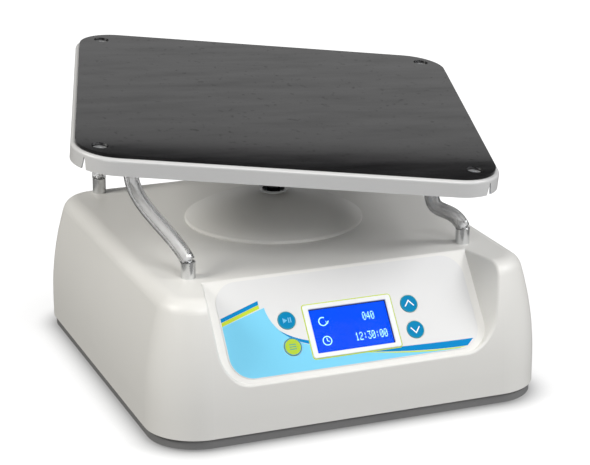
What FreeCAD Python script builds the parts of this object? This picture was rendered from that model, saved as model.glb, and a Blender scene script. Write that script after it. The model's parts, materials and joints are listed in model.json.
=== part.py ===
import FreeCAD, Part
import math
import os
import re
import Sketcher

# Three-dimensional shaker: a square tray nutates on an inclined crank pin above a moulded base.
# The origin is on the vertical drive axis at the bench, +X right, +Y to the back, +Z up.
# Lengths are millimetres and angles are degrees.

SIZES = {
    # base shell
    "base_width": 354,
    "base_depth": 372,
    "base_forward": 22,
    "base_corner": 45,
    "foot_stand": 2,
    "plinth_height": 8.7,
    "plinth_inset": 2.3,
    "plinth_floor": 4.5,
    "plinth_rim": 4.2,
    "housing_height": 114.8,
    "side_rise": 20,
    "side_bulge": 290,
    "shoulder_radius": 15,
    "wall": 3.5,
    "boss_radius": 6,
    "boss_inset": 24,
    "boss_pilot": 1.75,
    "boss_screw_length": 14,
    # sloping control recess
    "panel_setback": 59,
    "panel_slope": 51.8,
    "panel_margin": 57,
    "panel_length": 92,
    "panel_corner": 26,
    "panel_draft": 18,
    "lip_radius": 2.5,
    # overlay, display and buttons
    "overlay_thick": 0.5,
    "overlay_margin": 7,
    "overlay_top": 3,
    "overlay_bottom": 88,
    "overlay_corner": 20,
    "overlay_gap": 0.2,
    "display_width": 79.6,
    "display_height": 46.8,
    "display_down": 55,
    "display_view_width": 70.4,
    "display_view_height": 38.7,
    "bezel_proud": 1.6,
    "bezel_corner": 2,
    "bezel_chamfer": 0.5,
    "view_corner": 0.6,
    "window_thick": 1,
    "window_gap": 0.2,
    "window_corner": 0.8,
    "opening_margin": 2.3,
    "lcd_depth": 7,
    "lcd_glass_gap": 0.3,
    "lcd_rim": 2.5,
    "header_length": 60,
    "header_width": 4,
    "header_inset": 3,
    "button_radius": 7.7,
    "button_gap": 0.3,
    "button_side": 55.7,
    "button_upper_down": 42.2,
    "button_lower_down": 65.5,
    "button_proud": 0.4,
    "button_edge": 0.3,
    "button_travel": 1,
    "button_flange": 1.5,
    "button_flange_thick": 2,
    "switch_clear": 0.25,
    "switch_height": 6,
    "switch_side": 6,
    "plunger_radius": 1.75,
    "plunger_height": 2,
    "plunger_show": 1.5,
    "board_thick": 1.6,
    "board_half": 72,
    "board_top": 30,
    "board_bottom": 80,
    "board_corner": 2,
    "standoff_radius": 3.5,
    "standoff_edge": 6,
    "standoff_end": 4,
    "standoff_pilot": 1.5,
    "board_screw_radius": 1.45,
    "board_screw_length": 7,
    "board_screw_head": 2.8,
    "board_screw_thick": 1.8,
    # dome over the drive
    "dome_radius": 81,
    "dome_rise": 25.3,
    "dome_edge": 3.2,
    "dome_foot": 1.2,
    "dome_edge_width": 1.8,
    "dome_edge_radius": 2.5,
    "dome_curve": 174,
    "dome_wall": 2.5,
    "dome_locate": 70,
    "dome_locate_wall": 2.5,
    "dome_locate_depth": 3,
    "dome_locate_gap": 0.3,
    "collar_outer": 12.6,
    "collar_bore": 10.4,
    "collar_groove": 11.5,
    "collar_slack": 0.35,
    "collar_lip": 1.2,
    "collar_crown": 1.6,
    "collar_edge": 0.8,
    # feet and screws
    "foot_radius": 12,
    "foot_recess": 1.5,
    "foot_inset": 40,
    "foot_edge": 1,
    "foot_boss_radius": 6,
    "foot_boss_height": 7,
    "foot_screw_length": 9,
    "foot_head_thick": 1.6,
    "screw_radius": 2,
    "screw_head": 3.6,
    "screw_head_thick": 2.4,
    "screw_edge": 0.6,
    "hole_play": 0.1,
    "head_play": 0.4,
    "head_recess": 0.2,
    # spigots and flexible tubes
    "spigot_inset_x": 50.5,
    "spigot_inset_y": 54,
    "spigot_radius": 6.2,
    "spigot_height": 14.5,
    "spigot_edge": 0.5,
    "barb_radius": 3.9,
    "barb_length": 6.5,
    "barb_lead": 1.5,
    "barb_tip": 1,
    "stem_radius": 3,
    "stem_play": 0.2,
    "spigot_nut_flats": 10,
    "spigot_nut_thick": 5,
    "tube_outer": 6.35,
    "tube_bore": 4,
    "tube_slack": 6.5,
    "tube_bend": 14,
    "tube_low_share": 0.3,
    "platform_spigot_height": 6,
    # drive, from the base plate upwards
    "pillar_spread": 42,
    "pillar_radius": 6,
    "pillar_stud": 3,
    "stud_grip": 8,
    "pillar_screw_length": 12,
    "plate_screw_head": 5,
    "plate_screw_thick": 3.5,
    "motor_radius": 26,
    "motor_floor_gap": 3.5,
    "motor_edge": 3,
    "motor_eye": 7,
    "motor_bolt": 17,
    "motor_boss_hole": 10,
    "gearbox_radius": 30,
    "gearbox_length": 25,
    "gearbox_edge": 1,
    "gearbox_recess": 12,
    "bolt_depth": 10,
    "plate_thick": 4,
    "plate_side": 104,
    "plate_corner": 8,
    "plate_apart": 41,
    "bearing_plate_drop": 23.5,
    "output_radius": 4,
    "output_play": 0.3,
    "output_edge": 0.5,
    "coupling_radius": 12.5,
    "coupling_length": 28,
    "coupling_gap": 1,
    "coupling_edge": 1,
    "grub_inset": 7,
    "grub_short": 0.6,
    "shaft_radius": 6,
    "shaft_edge": 0.8,
    "shaft_in_head": 12,
    "shaft_shoulder": 8,
    "bearing_outer": 14,
    "bearing_width": 8,
    "bearing_lip": 1,
    "ring_thick": 2,
    "race_step": 2.2,
    "shield_thick": 0.6,
    "shield_gap": 0.25,
    "cartridge_radius": 20,
    "cartridge_below": 6,
    "cartridge_length": 35,
    "cartridge_land": 3,
    "cartridge_edge": 1,
    "cartridge_bolt": 17.6,
    "cartridge_flange": 30,
    "cartridge_flange_thick": 5,
    "fit": 0.05,
    # crank and platform
    "nutation_rise": 94.5,
    "tilt": 6.4,
    "lean_azimuth": -50.2,
    "platform_yaw": -16.4,
    "head_radius": 18,
    "head_drop": 62,
    "head_height": 26,
    "head_edge": 1.5,
    "pin_radius": 5,
    "pin_shoulder": 8,
    "pin_bottom": 48,
    "pin_shoulder_drop": 37,
    "pin_step": 2,
    "pin_above": 3,
    "pin_edge": 0.5,
    "clip_depth": 0.8,
    "clip_groove": 1.3,
    "clip_thick": 1.15,
    "hub_radius": 21,
    "hub_edge": 1,
    "hub_flange": 46,
    "hub_flange_thick": 6,
    "hub_fillet": 3,
    "hub_land": 2,
    "hub_bottom": 28,
    "hub_seat": 1.5,
    "hub_bolt": 26,
    "pin_bearing_outer": 13,
    "tray_side": 359,
    "tray_corner": 40,
    "tray_sheet": 1.5,
    "tray_skirt": 14.2,
    "tray_edge": 1.2,
    "tray_above": 12,
    "slit_depth": 4.2,
    "slit_top": 0.7,
    "slit_bottom": 2.7,
    "mat_thick": 3,
    "mat_margin": 3.4,
    "mat_hole_radius": 7,
    "mat_hole_offset": 155.5,
    "insert_radius": 5,
    "insert_bore": 2.6,
    "insert_length": 9,
    "insert_rim": 1.2,
    "insert_rim_thick": 0.8,
    "stud_radius": 3,
    "stud_tail": 6,
    # rear power entry
    "jack_x": 96,
    "rear_z": 22,
    "jack_flange": 8,
    "jack_flange_thick": 2,
    "jack_edge": 0.5,
    "jack_barrel": 6,
    "jack_length": 14,
    "jack_hole": 2.85,
    "jack_depth": 9,
    "jack_pin": 1,
    "jack_pin_low": 1.5,
    "jack_nut_flats": 17,
    "jack_nut_thick": 3,
    "switch_x": 58,
    "switch_opening": 9,
    "switch_opening_tall": 5.6,
    "switch_rim": 2,
    "switch_wall": 0.6,
    "switch_case": 15,
    "switch_room": 9,
    "tab_out": 5,
    "tab_thick": 0.8,
    "tab_width": 4.8,
    "tab_length": 8,
    "rocker_swing": 8,
    "rocker_axle": 1,
    "rocker_axle_drop": 3,
    "rocker_foot": 4,
    "rocker_waist": 7.6,
    "rocker_tip": 8.1,
    "rocker_rise": 4.2,
    "rocker_dip": 3,
    "rocker_play": 0.25,
    # driver board
    "driver_inset_x": 65,
    "driver_inset_y": 108,
    "driver_width": 60,
    "driver_depth": 100,
    "driver_stand": 8,
    "peg_radius": 3,
    "peg_pin": 1.5,
    "peg_inset": 4,
    "capacitor_radius": 8,
    "capacitor_height": 22,
    "coil_length": 34,
    "coil_width": 26,
    "coil_height": 20,
    "sink_length": 32,
    "sink_width": 20,
    "sink_height": 18,
    "fin_thick": 2,
}

# Lengths that follow from the driving ones.
DERIVED = {
    "plinth_top": "foot_stand + plinth_height",
    "floor_top": "foot_stand + plinth_floor",
    "top_z": "foot_stand + plinth_height + housing_height",
    "bulge_start": "foot_stand + plinth_height + side_rise",
    "back_y": "base_depth / 2 - base_forward",
    "panel_back": "base_depth / 2 + base_forward - panel_setback",
    "panel_half": "base_width / 2 - panel_margin",
    "overlay_half": "panel_half - overlay_margin",
    "boss_x": "base_width / 2 - boss_inset",
    "boss_y": "base_depth / 2 - boss_inset",
    "foot_x": "base_width / 2 - foot_inset",
    "foot_y": "base_depth / 2 - foot_inset",
    "spigot_x": "base_width / 2 - spigot_inset_x",
    "spigot_y": "base_depth / 2 - spigot_inset_y",
    "driver_x": "base_width / 2 - driver_inset_x",
    "driver_y": "back_y - driver_inset_y",
    "opening_half_x": "display_view_width / 2 + opening_margin",
    "opening_half_y": "display_view_height / 2 + opening_margin",
    "button_back": "0 - wall - button_gap - button_flange_thick",
    "switch_top": "button_back - button_travel - switch_clear",
    "board_front": "switch_top - switch_height",
    "lcd_back": "0 - wall - lcd_depth",
    "bearing_plate_z": "top_z - bearing_plate_drop",
    "motor_plate_z": "bearing_plate_z - plate_apart",
    "motor_length": "motor_plate_z - gearbox_length - floor_top - motor_floor_gap",
    "coupling_bottom": "motor_plate_z + plate_thick + coupling_gap",
    "coupling_top": "coupling_bottom + coupling_length",
    "shaft_bottom": "coupling_bottom + coupling_length / 2",
    "cartridge_bottom": "bearing_plate_z - cartridge_below",
    "cartridge_top": "cartridge_bottom + cartridge_length",
    "cartridge_seat": "bearing_plate_z + plate_thick",
    "lower_race": "cartridge_bottom + bearing_lip",
    "upper_race": "cartridge_top - bearing_lip - bearing_width",
    "nutation_z": "top_z + nutation_rise",
    "head_bottom": "nutation_z - head_drop",
    "head_top": "head_bottom + head_height",
    "shaft_top": "head_bottom + shaft_in_head",
    "lower_pin_race": "hub_seat - hub_bottom",
    "upper_pin_race": "lower_pin_race + 2 * bearing_width",
    "clip_bottom": "upper_pin_race + bearing_width + fit",
    "pin_top": "upper_pin_race + bearing_width + pin_above",
    "tray_under": "tray_above - tray_sheet",
    "platform_spigot_end": "tray_under - platform_spigot_height",
    "flange_under": "tray_under - hub_flange_thick",
}

V = FreeCAD.Vector
doc = FreeCAD.newDocument("shaker")
sheet = doc.addObject("Spreadsheet::Sheet", "Sizes")
for row, (alias, number) in enumerate(SIZES.items(), start=1):
    sheet.set("A%d" % row, alias)
    sheet.set("B%d" % row, str(number))
    sheet.setAlias("B%d" % row, alias)
doc.recompute()

nodes = []


def bound(text):
    """The expression with every size written as a cell of the sheet."""
    def expand(match):
        word = match.group(0)
        if word in DERIVED:
            return "(" + bound(DERIVED[word]) + ")"
        return "Sizes." + word if word in SIZES else word
    return re.sub(r"[a-z]\w*", expand, str(text))


def value(text):
    """The number that an expression gives now."""
    result = sheet.evalExpression(bound(text))
    return float(getattr(result, "Value", result))


def point(x, y, z):
    return V(value(x), value(y), value(z))


def base_frame():
    """Placement of the base shell, whose middle lies in front of the drive axis."""
    return FreeCAD.Placement(V(0, -value("base_forward"), 0), FreeCAD.Rotation())


def panel_frame():
    """Placement of the control panel: y up the slope, z out of the panel."""
    turn = FreeCAD.Rotation(V(1, 0, 0), value("panel_slope"))
    return FreeCAD.Placement(V(0, -value("panel_back"), value("top_z")), turn)


def pin_frame():
    """Placement of the inclined crank pin, whose axis is local z through the nutation centre."""
    azimuth = math.radians(value("lean_azimuth"))
    axis = V(-math.sin(azimuth), math.cos(azimuth), 0)
    return FreeCAD.Placement(V(0, 0, value("nutation_z")), FreeCAD.Rotation(axis, value("tilt")))


def platform_frame():
    """Placement of the platform: the pin's frame, turned by the platform's yaw."""
    yaw = FreeCAD.Placement(V(), FreeCAD.Rotation(V(0, 0, 1), value("platform_yaw")))
    return pin_frame().multiply(yaw)


def at(x, y, z):
    """Placement without a turn."""
    return FreeCAD.Placement(point(x, y, z), FreeCAD.Rotation())


def node(item, name, placement=None):
    """Label an object as a piece of the shaker and put it in its place."""
    item.Label = name
    if placement is not None:
        item.Placement = placement
    nodes.append(item)
    return item


def add_body(name):
    return doc.addObject("PartDesign::Body", name)


def plane(body, role):
    return [item for item in body.Origin.OriginFeatures if item.Role == role][0]


def arc_between(start, end, radius):
    """Short arc from start to end, anticlockwise when the radius is positive."""
    middle = (start + end) / 2
    chord = end - start
    left = V(-chord.y, chord.x, 0).normalize()
    rise = math.sqrt(max(radius * radius - chord.Length ** 2 / 4, 0))
    centre = middle + left * (rise if radius > 0 else -rise)
    first, last = (start, end) if radius > 0 else (end, start)
    angles = [math.atan2(p.y - centre.y, p.x - centre.x) for p in (first, last)]
    circle = Part.Circle(centre, V(0, 0, 1), abs(radius))
    end = angles[1] if angles[1] > angles[0] else angles[1] + 2 * math.pi
    return Part.ArcOfCircle(circle, angles[0], end)


def place_corner(sketch, index, position, x, y, where):
    """Hold one end of a sketch line at expressions for its two coordinates."""
    for kind, text, number, axis in (("DistanceX", x, where.x, -2), ("DistanceY", y, where.y, -1)):
        if str(text) == "0":
            sketch.addConstraint(Sketcher.Constraint("PointOnObject", index, position, axis))
        else:
            held = sketch.addConstraint(Sketcher.Constraint(kind, -1, 1, index, position, number))
            sketch.setExpression("Constraints[%d]" % held, bound(text))


def add_outline(sketch, corners):
    """Closed outline. A corner is (x, y), or (x, y, radius) when an arc leaves it."""
    first = sketch.GeometryCount
    spots = [point(corner[0], corner[1], 0) for corner in corners]
    ends = []
    for i, corner in enumerate(corners):
        after = spots[(i + 1) % len(corners)]
        radius = value(corner[2]) if len(corner) > 2 else 0
        if radius:
            sketch.addGeometry(arc_between(spots[i], after, radius), False)
        else:
            sketch.addGeometry(Part.LineSegment(spots[i], after), False)
        ends.append((2, 1) if radius < 0 else (1, 2))
    for i, corner in enumerate(corners):
        j = (i + 1) % len(corners)
        sketch.addConstraint(Sketcher.Constraint("Coincident", first + i, ends[i][1], first + j, ends[j][0]))
        place_corner(sketch, first + i, ends[i][0], corner[0], corner[1], spots[i])
        if len(corner) > 2:
            size = value(corner[2])
            held = sketch.addConstraint(Sketcher.Constraint("Radius", first + i, abs(size)))
            text = corner[2] if size > 0 else "-(" + corner[2] + ")"
            sketch.setExpression("Constraints[%d]" % held, bound(text))


def add_circle(sketch, x, y, radius):
    index = sketch.addGeometry(Part.Circle(point(x, y, 0), V(0, 0, 1), value(radius)), False)
    place_corner(sketch, index, 3, x, y, point(x, y, 0))
    held = sketch.addConstraint(Sketcher.Constraint("Radius", index, value(radius)))
    sketch.setExpression("Constraints[%d]" % held, bound(radius))


def add_sketch(body, outlines=(), circles=(), role="XY_Plane", level="0", shift="0"):
    """Sketch on an origin plane, moved along its normal by level and along its x by shift."""
    sketch = body.newObject("Sketcher::SketchObject", body.Name + "_sketch")
    sketch.AttachmentSupport = [(plane(body, role), "")]
    sketch.MapMode = "FlatFace"
    sketch.setExpression("AttachmentOffset.Base.z", bound(level))
    sketch.setExpression("AttachmentOffset.Base.x", bound(shift))
    for corners in outlines:
        add_outline(sketch, corners)
    for x, y, radius in circles:
        add_circle(sketch, x, y, radius)
    return sketch


def add_pad(body, sketch, length, both=False, taper=None):
    pad = body.newObject("PartDesign::Pad", body.Name + "_pad")
    pad.Profile = sketch
    pad.setExpression("Length", bound(length))
    if both:
        pad.SideType = "Symmetric"
    if taper:
        pad.setExpression("TaperAngle", bound(taper))
    doc.recompute()
    return pad


def add_pocket(body, sketch, length, both=False, up=False):
    """Pocket below its sketch, or above it when up is set."""
    pocket = body.newObject("PartDesign::Pocket", body.Name + "_pocket")
    pocket.Profile = sketch
    pocket.setExpression("Length", bound(length))
    if both:
        pocket.SideType = "Symmetric"
    pocket.Reversed = up
    doc.recompute()
    return pocket


def add_turned(name, corners):
    """Body turned about its z axis from a closed outline of (radius, height) corners."""
    body = add_body(name)
    sketch = add_sketch(body, [corners], role="XZ_Plane")
    turned = body.newObject("PartDesign::Revolution", name + "_turned")
    turned.Profile = sketch
    turned.ReferenceAxis = (sketch, ["V_Axis"])
    turned.Angle = 360
    doc.recompute()
    return body


def rounded(half_x, low_y, high_y, radius):
    """Corners of a rounded rectangle, symmetric about x = 0."""
    return [
        ("-(%s) + %s" % (half_x, radius), low_y),
        ("%s - (%s)" % (half_x, radius), low_y, radius),
        (half_x, "%s + %s" % (low_y, radius)),
        (half_x, "%s - (%s)" % (high_y, radius), radius),
        ("%s - (%s)" % (half_x, radius), high_y),
        ("-(%s) + %s" % (half_x, radius), high_y, radius),
        ("-(%s)" % half_x, "%s - (%s)" % (high_y, radius)),
        ("-(%s)" % half_x, "%s + %s" % (low_y, radius), radius),
    ]


def add_primitive(kind, name, sizes, spot):
    """Part primitive with its sizes and its own position tied to the sheet."""
    item = doc.addObject("Part::" + kind, name)
    for prop, text in sizes.items():
        item.setExpression(prop, bound(text))
    for axis, text in zip("xyz", spot):
        item.setExpression("Placement.Base." + axis, bound(text))
    return item


def put(item, placement):
    """Place a primitive by a frame, in place of its own position."""
    for axis in "xyz":
        item.setExpression("Placement.Base." + axis, None)
    item.Placement = placement
    return item


def add_cylinder(name, radius, height, x="0", y="0", z="0"):
    return add_primitive("Cylinder", name, {"Radius": radius, "Height": height}, (x, y, z))


def add_box(name, x, y, z, length, width, height):
    """Box from its lowest corner."""
    return add_primitive("Box", name, {"Length": length, "Width": width, "Height": height}, (x, y, z))


def add_prism(name, flats, height, x="0", y="0", z="0"):
    """Hexagonal prism of a width across flats."""
    sizes = {"Circumradius": "(%s) / (2 * cos(30))" % flats, "Height": height}
    return add_primitive("Prism", name, sizes, (x, y, z))


def add_union(name, items):
    union = doc.addObject("Part::MultiFuse", name)
    union.Shapes = items
    doc.recompute()
    return union


def add_cut(name, base, tools):
    cut = doc.addObject("Part::Cut", name)
    cut.Base = base
    cut.Tool = tools[0] if len(tools) == 1 else add_union(name + "_tools", tools)
    doc.recompute()
    return cut


def add_group(name, items):
    """Identical separate pieces in one node."""
    group = doc.addObject("Part::Compound", name)
    group.Links = items
    doc.recompute()
    return group


def four(x, y):
    """The four sign combinations of a place, as expressions."""
    return [("%s(%s)" % (a, x), "%s(%s)" % (b, y)) for a in ("", "-") for b in ("", "-")]


# Base shell

def side_section(half, low, start, top, bulge, shoulder):
    """Barrel-sided section: straight foot, long bulge arc, shoulder arc, flat top."""
    reach = "(%s)" % bulge
    small = "(%s)" % shoulder
    drop = "(%s - %s - (%s))" % (top, small, start)
    centre = "(%s - sqrt((%s - %s) * (%s - %s) - %s * %s))" % (reach, reach, small, reach, small, drop, drop)
    along = "(%s / (%s - %s))" % (reach, reach, small)
    touch_in = "(%s - (%s - %s) * %s)" % (reach, reach, centre, along)
    touch_z = "(%s + %s * %s)" % (start, drop, along)
    return [
        ("-(%s)" % half, low),
        ("-(%s)" % half, start, "-" + reach),
        ("-(%s) + %s" % (half, touch_in), touch_z, "-" + small),
        ("-(%s) + %s" % (half, centre), top),
        ("%s - %s" % (half, centre), top, "-" + small),
        ("%s - %s" % (half, touch_in), touch_z, "-" + reach),
        (half, start),
        (half, low),
    ]


def corner_section(reach_in, low, start, top, bulge, shoulder):
    """Half of a side section, for a turned corner of the given radius."""
    full = side_section(reach_in, low, start, top, bulge, shoulder)
    return [("0", low), ("0", top)] + full[4:]


def shell_block(name, half_x, half_y, corner, low, start, top, bulge, shoulder):
    """Rounded block with barrel sides: two crossed extrusions and four turned corners."""
    body = add_body(name)
    numbers = (low, start, top, bulge, shoulder)
    across = add_sketch(body, [side_section(half_x, *numbers)], role="XZ_Plane")
    add_pad(body, across, "2 * (%s - (%s))" % (half_y, corner), both=True)
    along = add_sketch(body, [side_section(half_y, *numbers)], role="YZ_Plane")
    add_pad(body, along, "2 * (%s - (%s))" % (half_x, corner), both=True)
    for side in ("", "-"):
        for end in ("", "-"):
            turned = body.newObject("PartDesign::Revolution", name + "_corner")
            turned.Profile = add_sketch(body, [corner_section(corner, *numbers)], role="XZ_Plane",
                                        level="%s(%s - (%s))" % (end, half_y, corner),
                                        shift="%s(%s - (%s))" % (side, half_x, corner))
            turned.ReferenceAxis = (turned.Profile[0], ["V_Axis"])
            turned.Angle = 360
            doc.recompute()
    return body


def recess_tool(name, depth, grow):
    """Drafted block that clears the control recess above the panel plane."""
    body = add_body(name)
    outline = rounded("panel_half + " + grow, "0 - panel_length - " + grow, "panel_length / 2",
                      "panel_corner + " + grow)
    sketch = add_sketch(body, [outline], level="0 - " + depth)
    add_pad(body, sketch, "panel_length + " + depth, taper="panel_draft")
    body.Placement = panel_frame()
    return body


def dress(body, kind, level, size, amount):
    """Fillet or chamfer every edge of the body that lies at the level."""
    base = body.Tip
    height = value(level)
    rim = [number for number, edge in enumerate(base.Shape.Edges, start=1)
           if all(abs(corner.Point.z - height) < 0.001 for corner in edge.Vertexes)]
    feature = body.newObject(kind, body.Name + "_dressed")
    feature.Base = (base, ["Edge%d" % number for number in rim])
    feature.setExpression(size, bound(amount))
    doc.recompute()


def lies_on(shape, spots):
    """Whether every spot lies on one of the shape's faces."""
    return all(min(Part.Vertex(spot).distToShape(face)[0] for face in shape.Faces) < 0.001 for spot in spots)


def lip_edges(skin, outer, recess):
    """Numbers of the edges where the recess meets the outer skin."""
    found = []
    for number, edge in enumerate(skin.Shape.Edges, start=1):
        span = edge.LastParameter - edge.FirstParameter
        spots = [edge.valueAt(edge.FirstParameter + span * share) for share in (0.15, 0.5, 0.85)]
        if lies_on(recess.Shape, spots) and lies_on(outer.Shape, spots):
            found.append(number)
    return found


def in_panel(item, x="0", y="0"):
    """Place an item on the control panel."""
    item.Placement = panel_frame().multiply(at(x, y, "0"))
    return item


def rear_frame(x):
    """Placement on the back wall, local z out of the wall."""
    return FreeCAD.Placement(point(x, "back_y", "rear_z"), FreeCAD.Rotation(V(1, 0, 0), -90))


def button_places():
    """Names and panel places of the four keys."""
    return [
        ("button_up", "button_side", "0 - button_upper_down"),
        ("button_down", "button_side", "0 - button_lower_down"),
        ("button_left_top", "0 - button_side", "0 - button_upper_down"),
        ("button_left_bottom", "0 - button_side", "0 - button_lower_down"),
    ]


def panel_openings():
    """Tools that cut the display opening and the key holes through the panel wall."""
    depth = "2 * wall"
    opening = add_body("display_opening")
    outline = rounded("opening_half_x", "0 - display_down - opening_half_y",
                      "0 - display_down + opening_half_y", "1")
    add_pad(opening, add_sketch(opening, [outline], level="0 - " + depth), "2 * " + depth)
    tools = [in_panel(opening)]
    for name, x, y in button_places():
        hole = add_cylinder(name + "_hole", "button_radius + button_gap", "3 * wall")
        tools.append(put(hole, panel_frame().multiply(at(x, y, "0 - 2 * wall"))))
    return tools


def make_housing():
    outer = shell_block("outer_block", "base_width / 2", "base_depth / 2", "base_corner", "plinth_top",
                        "bulge_start", "top_z", "side_bulge", "shoulder_radius")
    inner = shell_block("inner_block", "base_width / 2 - wall", "base_depth / 2 - wall",
                        "base_corner - wall",
                        "plinth_top - wall", "bulge_start", "top_z - wall", "side_bulge - wall",
                        "shoulder_radius - wall")
    for block in (outer, inner):
        block.Placement = base_frame()
    recess = recess_tool("recess", "0", "0")
    sharp = add_cut("housing_skin", outer, [recess])
    skin = doc.addObject("Part::Fillet", "housing_lip")
    skin.Base = sharp
    radius = value("lip_radius")
    skin.Edges = [(number, radius, radius) for number in lip_edges(sharp, outer, recess)]
    doc.recompute()
    hollow = add_cut("housing_hollow", inner, [recess_tool("recess_inside", "wall", "wall")])
    shell = add_cut("housing_shell", skin, [hollow])
    columns = [add_cylinder("column", "boss_radius", "housing_height", x, y + " - base_forward",
                            "plinth_top")
               for x, y in four("boss_x", "boss_y")]
    upper = doc.addObject("Part::Common", "columns_in_skin")
    upper.Base = skin
    upper.Tool = add_union("columns", columns)
    lower = [add_cylinder("column_foot", "boss_radius", "plinth_top - floor_top + 1", x,
                          y + " - base_forward", "floor_top") for x, y in four("boss_x", "boss_y")]
    solid = add_union("housing_solid", [shell, upper] + lower)
    tools = panel_openings()
    tools.append(add_cylinder("dome_hole", "dome_locate + dome_locate_gap", "3 * wall",
                              z="top_z - 2 * wall"))
    for x, y in four("spigot_x", "spigot_y"):
        tools.append(add_cylinder("stem_hole", "stem_radius + stem_play", "3 * wall", x, y,
                                  "top_z - 2 * wall"))
    for x, y in four("boss_x", "boss_y"):
        tools.append(add_cylinder("pilot", "boss_pilot", "boss_screw_length", x, y + " - base_forward",
                                  "floor_top"))
    jack = add_cylinder("jack_hole", "jack_barrel + hole_play", "4 * wall")
    tools.append(put(jack, rear_frame("jack_x").multiply(at("0", "0", "-2 * wall"))))
    half_x = "switch_opening + switch_wall + hole_play"
    half_z = "switch_opening_tall + switch_wall + hole_play"
    tools.append(add_box("switch_hole", "switch_x - (%s)" % half_x, "back_y - 2 * wall",
                         "rear_z - (%s)" % half_z,
                         "2 * (%s)" % half_x, "3 * wall", "2 * (%s)" % half_z))
    node(add_cut("housing", solid, tools), "housing")


def add_screws(name, places, under_head, length, head="screw_head", head_thick="screw_head_thick",
               shank="screw_radius", down=False, frame=None):
    """Group of pan-head screws. The shank runs up from under the head, or down when down is set."""
    screws = []
    for x, y in places:
        if down:
            corners = [("0", "-(%s)" % length), (shank, "-(%s)" % length), (shank, "0"), (head, "0"),
                       (head, head_thick + " - screw_edge"), (head + " - screw_edge", head_thick),
                       ("0", head_thick)]
        else:
            corners = [("0", "0 - " + head_thick), (head + " - screw_edge", "0 - " + head_thick),
                       (head, "screw_edge - " + head_thick), (head, "0"), (shank, "0"), (shank, length),
                       ("0", length)]
        screw = add_turned(name + "_one", corners)
        screw.Placement = frame.multiply(at(x, y, under_head)) if frame else at(x, y, under_head)
        screws.append(screw)
    return node(add_group(name, screws), name)


def shifted(places):
    """Places given about the middle of the base, moved to the drive axis."""
    return [(x, y + " - base_forward") for x, y in places]


def make_base_plate():
    body = add_body("plate_block")
    half_x, half_y = "base_width / 2 - plinth_inset", "base_depth / 2 - plinth_inset"
    corner = "(base_corner - plinth_inset)"
    outline = rounded(half_x, "-(%s)" % half_y, half_y, corner)
    add_pad(body, add_sketch(body, [outline], level="foot_stand"), "plinth_height")
    inside = rounded(half_x + " - plinth_rim", "plinth_rim - (%s)" % half_y, half_y + " - plinth_rim",
                     "(base_corner - plinth_inset - plinth_rim)")
    add_pocket(body, add_sketch(body, [inside], level="plinth_top"), "plinth_height - plinth_floor")
    body.Placement = base_frame()
    added = [add_cylinder("foot_boss", "foot_boss_radius", "foot_boss_height", x, y, "floor_top")
             for x, y in shifted(four("foot_x", "foot_y"))]
    for x, y in driver_places():
        added.append(add_cylinder("board_peg", "peg_radius", "driver_stand", x, y, "floor_top"))
        added.append(add_cylinder("board_pin", "peg_pin", "driver_stand + 2 * board_thick", x, y,
                                  "floor_top"))
    tools = []
    for x, y in shifted(four("foot_x", "foot_y")):
        tools.append(add_cylinder("foot_pocket", "foot_radius + hole_play", "foot_recess", x, y,
                                  "foot_stand"))
        tools.append(add_cylinder("foot_pilot", "screw_radius + fit", "foot_screw_length + foot_edge", x, y,
                                  "foot_stand"))
    for x, y in shifted(four("boss_x", "boss_y")) + four("pillar_spread", "pillar_spread"):
        tools.append(add_cylinder("head_pocket", "screw_head + head_play",
                                  "screw_head_thick + head_recess", x, y,
                                  "foot_stand"))
        tools.append(add_cylinder("shank_hole", "screw_radius + fit", "plinth_floor", x, y, "foot_stand"))
    node(add_cut("base_plate", add_union("plate_with_bosses", [body] + added), tools), "base_plate")


def make_feet():
    feet = []
    for x, y in shifted(four("foot_x", "foot_y")):
        foot = add_turned("foot", [
            ("screw_radius + head_play", "foot_stand"), ("screw_head + head_play", "foot_stand"),
            ("screw_head + head_play", "0"), ("foot_radius - foot_edge", "0"), ("foot_radius", "foot_edge"),
            ("foot_radius", "foot_stand + foot_recess"),
            ("screw_radius + head_play", "foot_stand + foot_recess")])
        foot.Placement = at(x, y, "0")
        feet.append(foot)
    node(add_group("rubber_feet", feet), "rubber_feet")
    add_screws("foot_screws", shifted(four("foot_x", "foot_y")), "foot_stand", "foot_screw_length",
               head_thick="foot_head_thick")
    seat = "foot_stand + screw_head_thick + head_recess"
    add_screws("housing_screws", shifted(four("boss_x", "boss_y")), seat, "boss_screw_length",
               shank="boss_pilot - fit")
    add_screws("pillar_screws", four("pillar_spread", "pillar_spread"), seat, "pillar_screw_length")


def make_dome():
    seat = at("0", "0", "top_z")
    inner_locate = "dome_locate - dome_locate_wall"
    dome = add_turned("dome", [
        ("dome_radius", "0"), ("dome_radius", "dome_foot", "dome_edge_radius"),
        ("dome_radius - dome_edge_width", "dome_edge", "dome_curve"),
        ("collar_groove", "dome_rise"),
        ("collar_groove", "dome_rise - dome_wall", "-(dome_curve - dome_wall)"),
        (inner_locate, "2 * dome_edge"), (inner_locate, "0 - dome_locate_depth"),
        ("dome_locate", "0 - dome_locate_depth"), ("dome_locate", "0")])
    node(dome, "shaft_dome", seat)
    under, over = "dome_rise - dome_wall - collar_slack", "dome_rise + fit"
    collar = add_turned("collar", [
        ("collar_bore", under + " - collar_lip"), ("collar_outer - collar_slack", under + " - collar_lip"),
        ("collar_outer - collar_slack", under), ("collar_groove - fit", under),
        ("collar_groove - fit", over),
        ("collar_outer", over), ("collar_outer", over + " + collar_crown - collar_edge"),
        ("collar_outer - collar_edge", over + " + collar_crown"), ("collar_bore", over + " + collar_crown")])
    node(collar, "dome_collar", at("0", "0", "top_z"))


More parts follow.
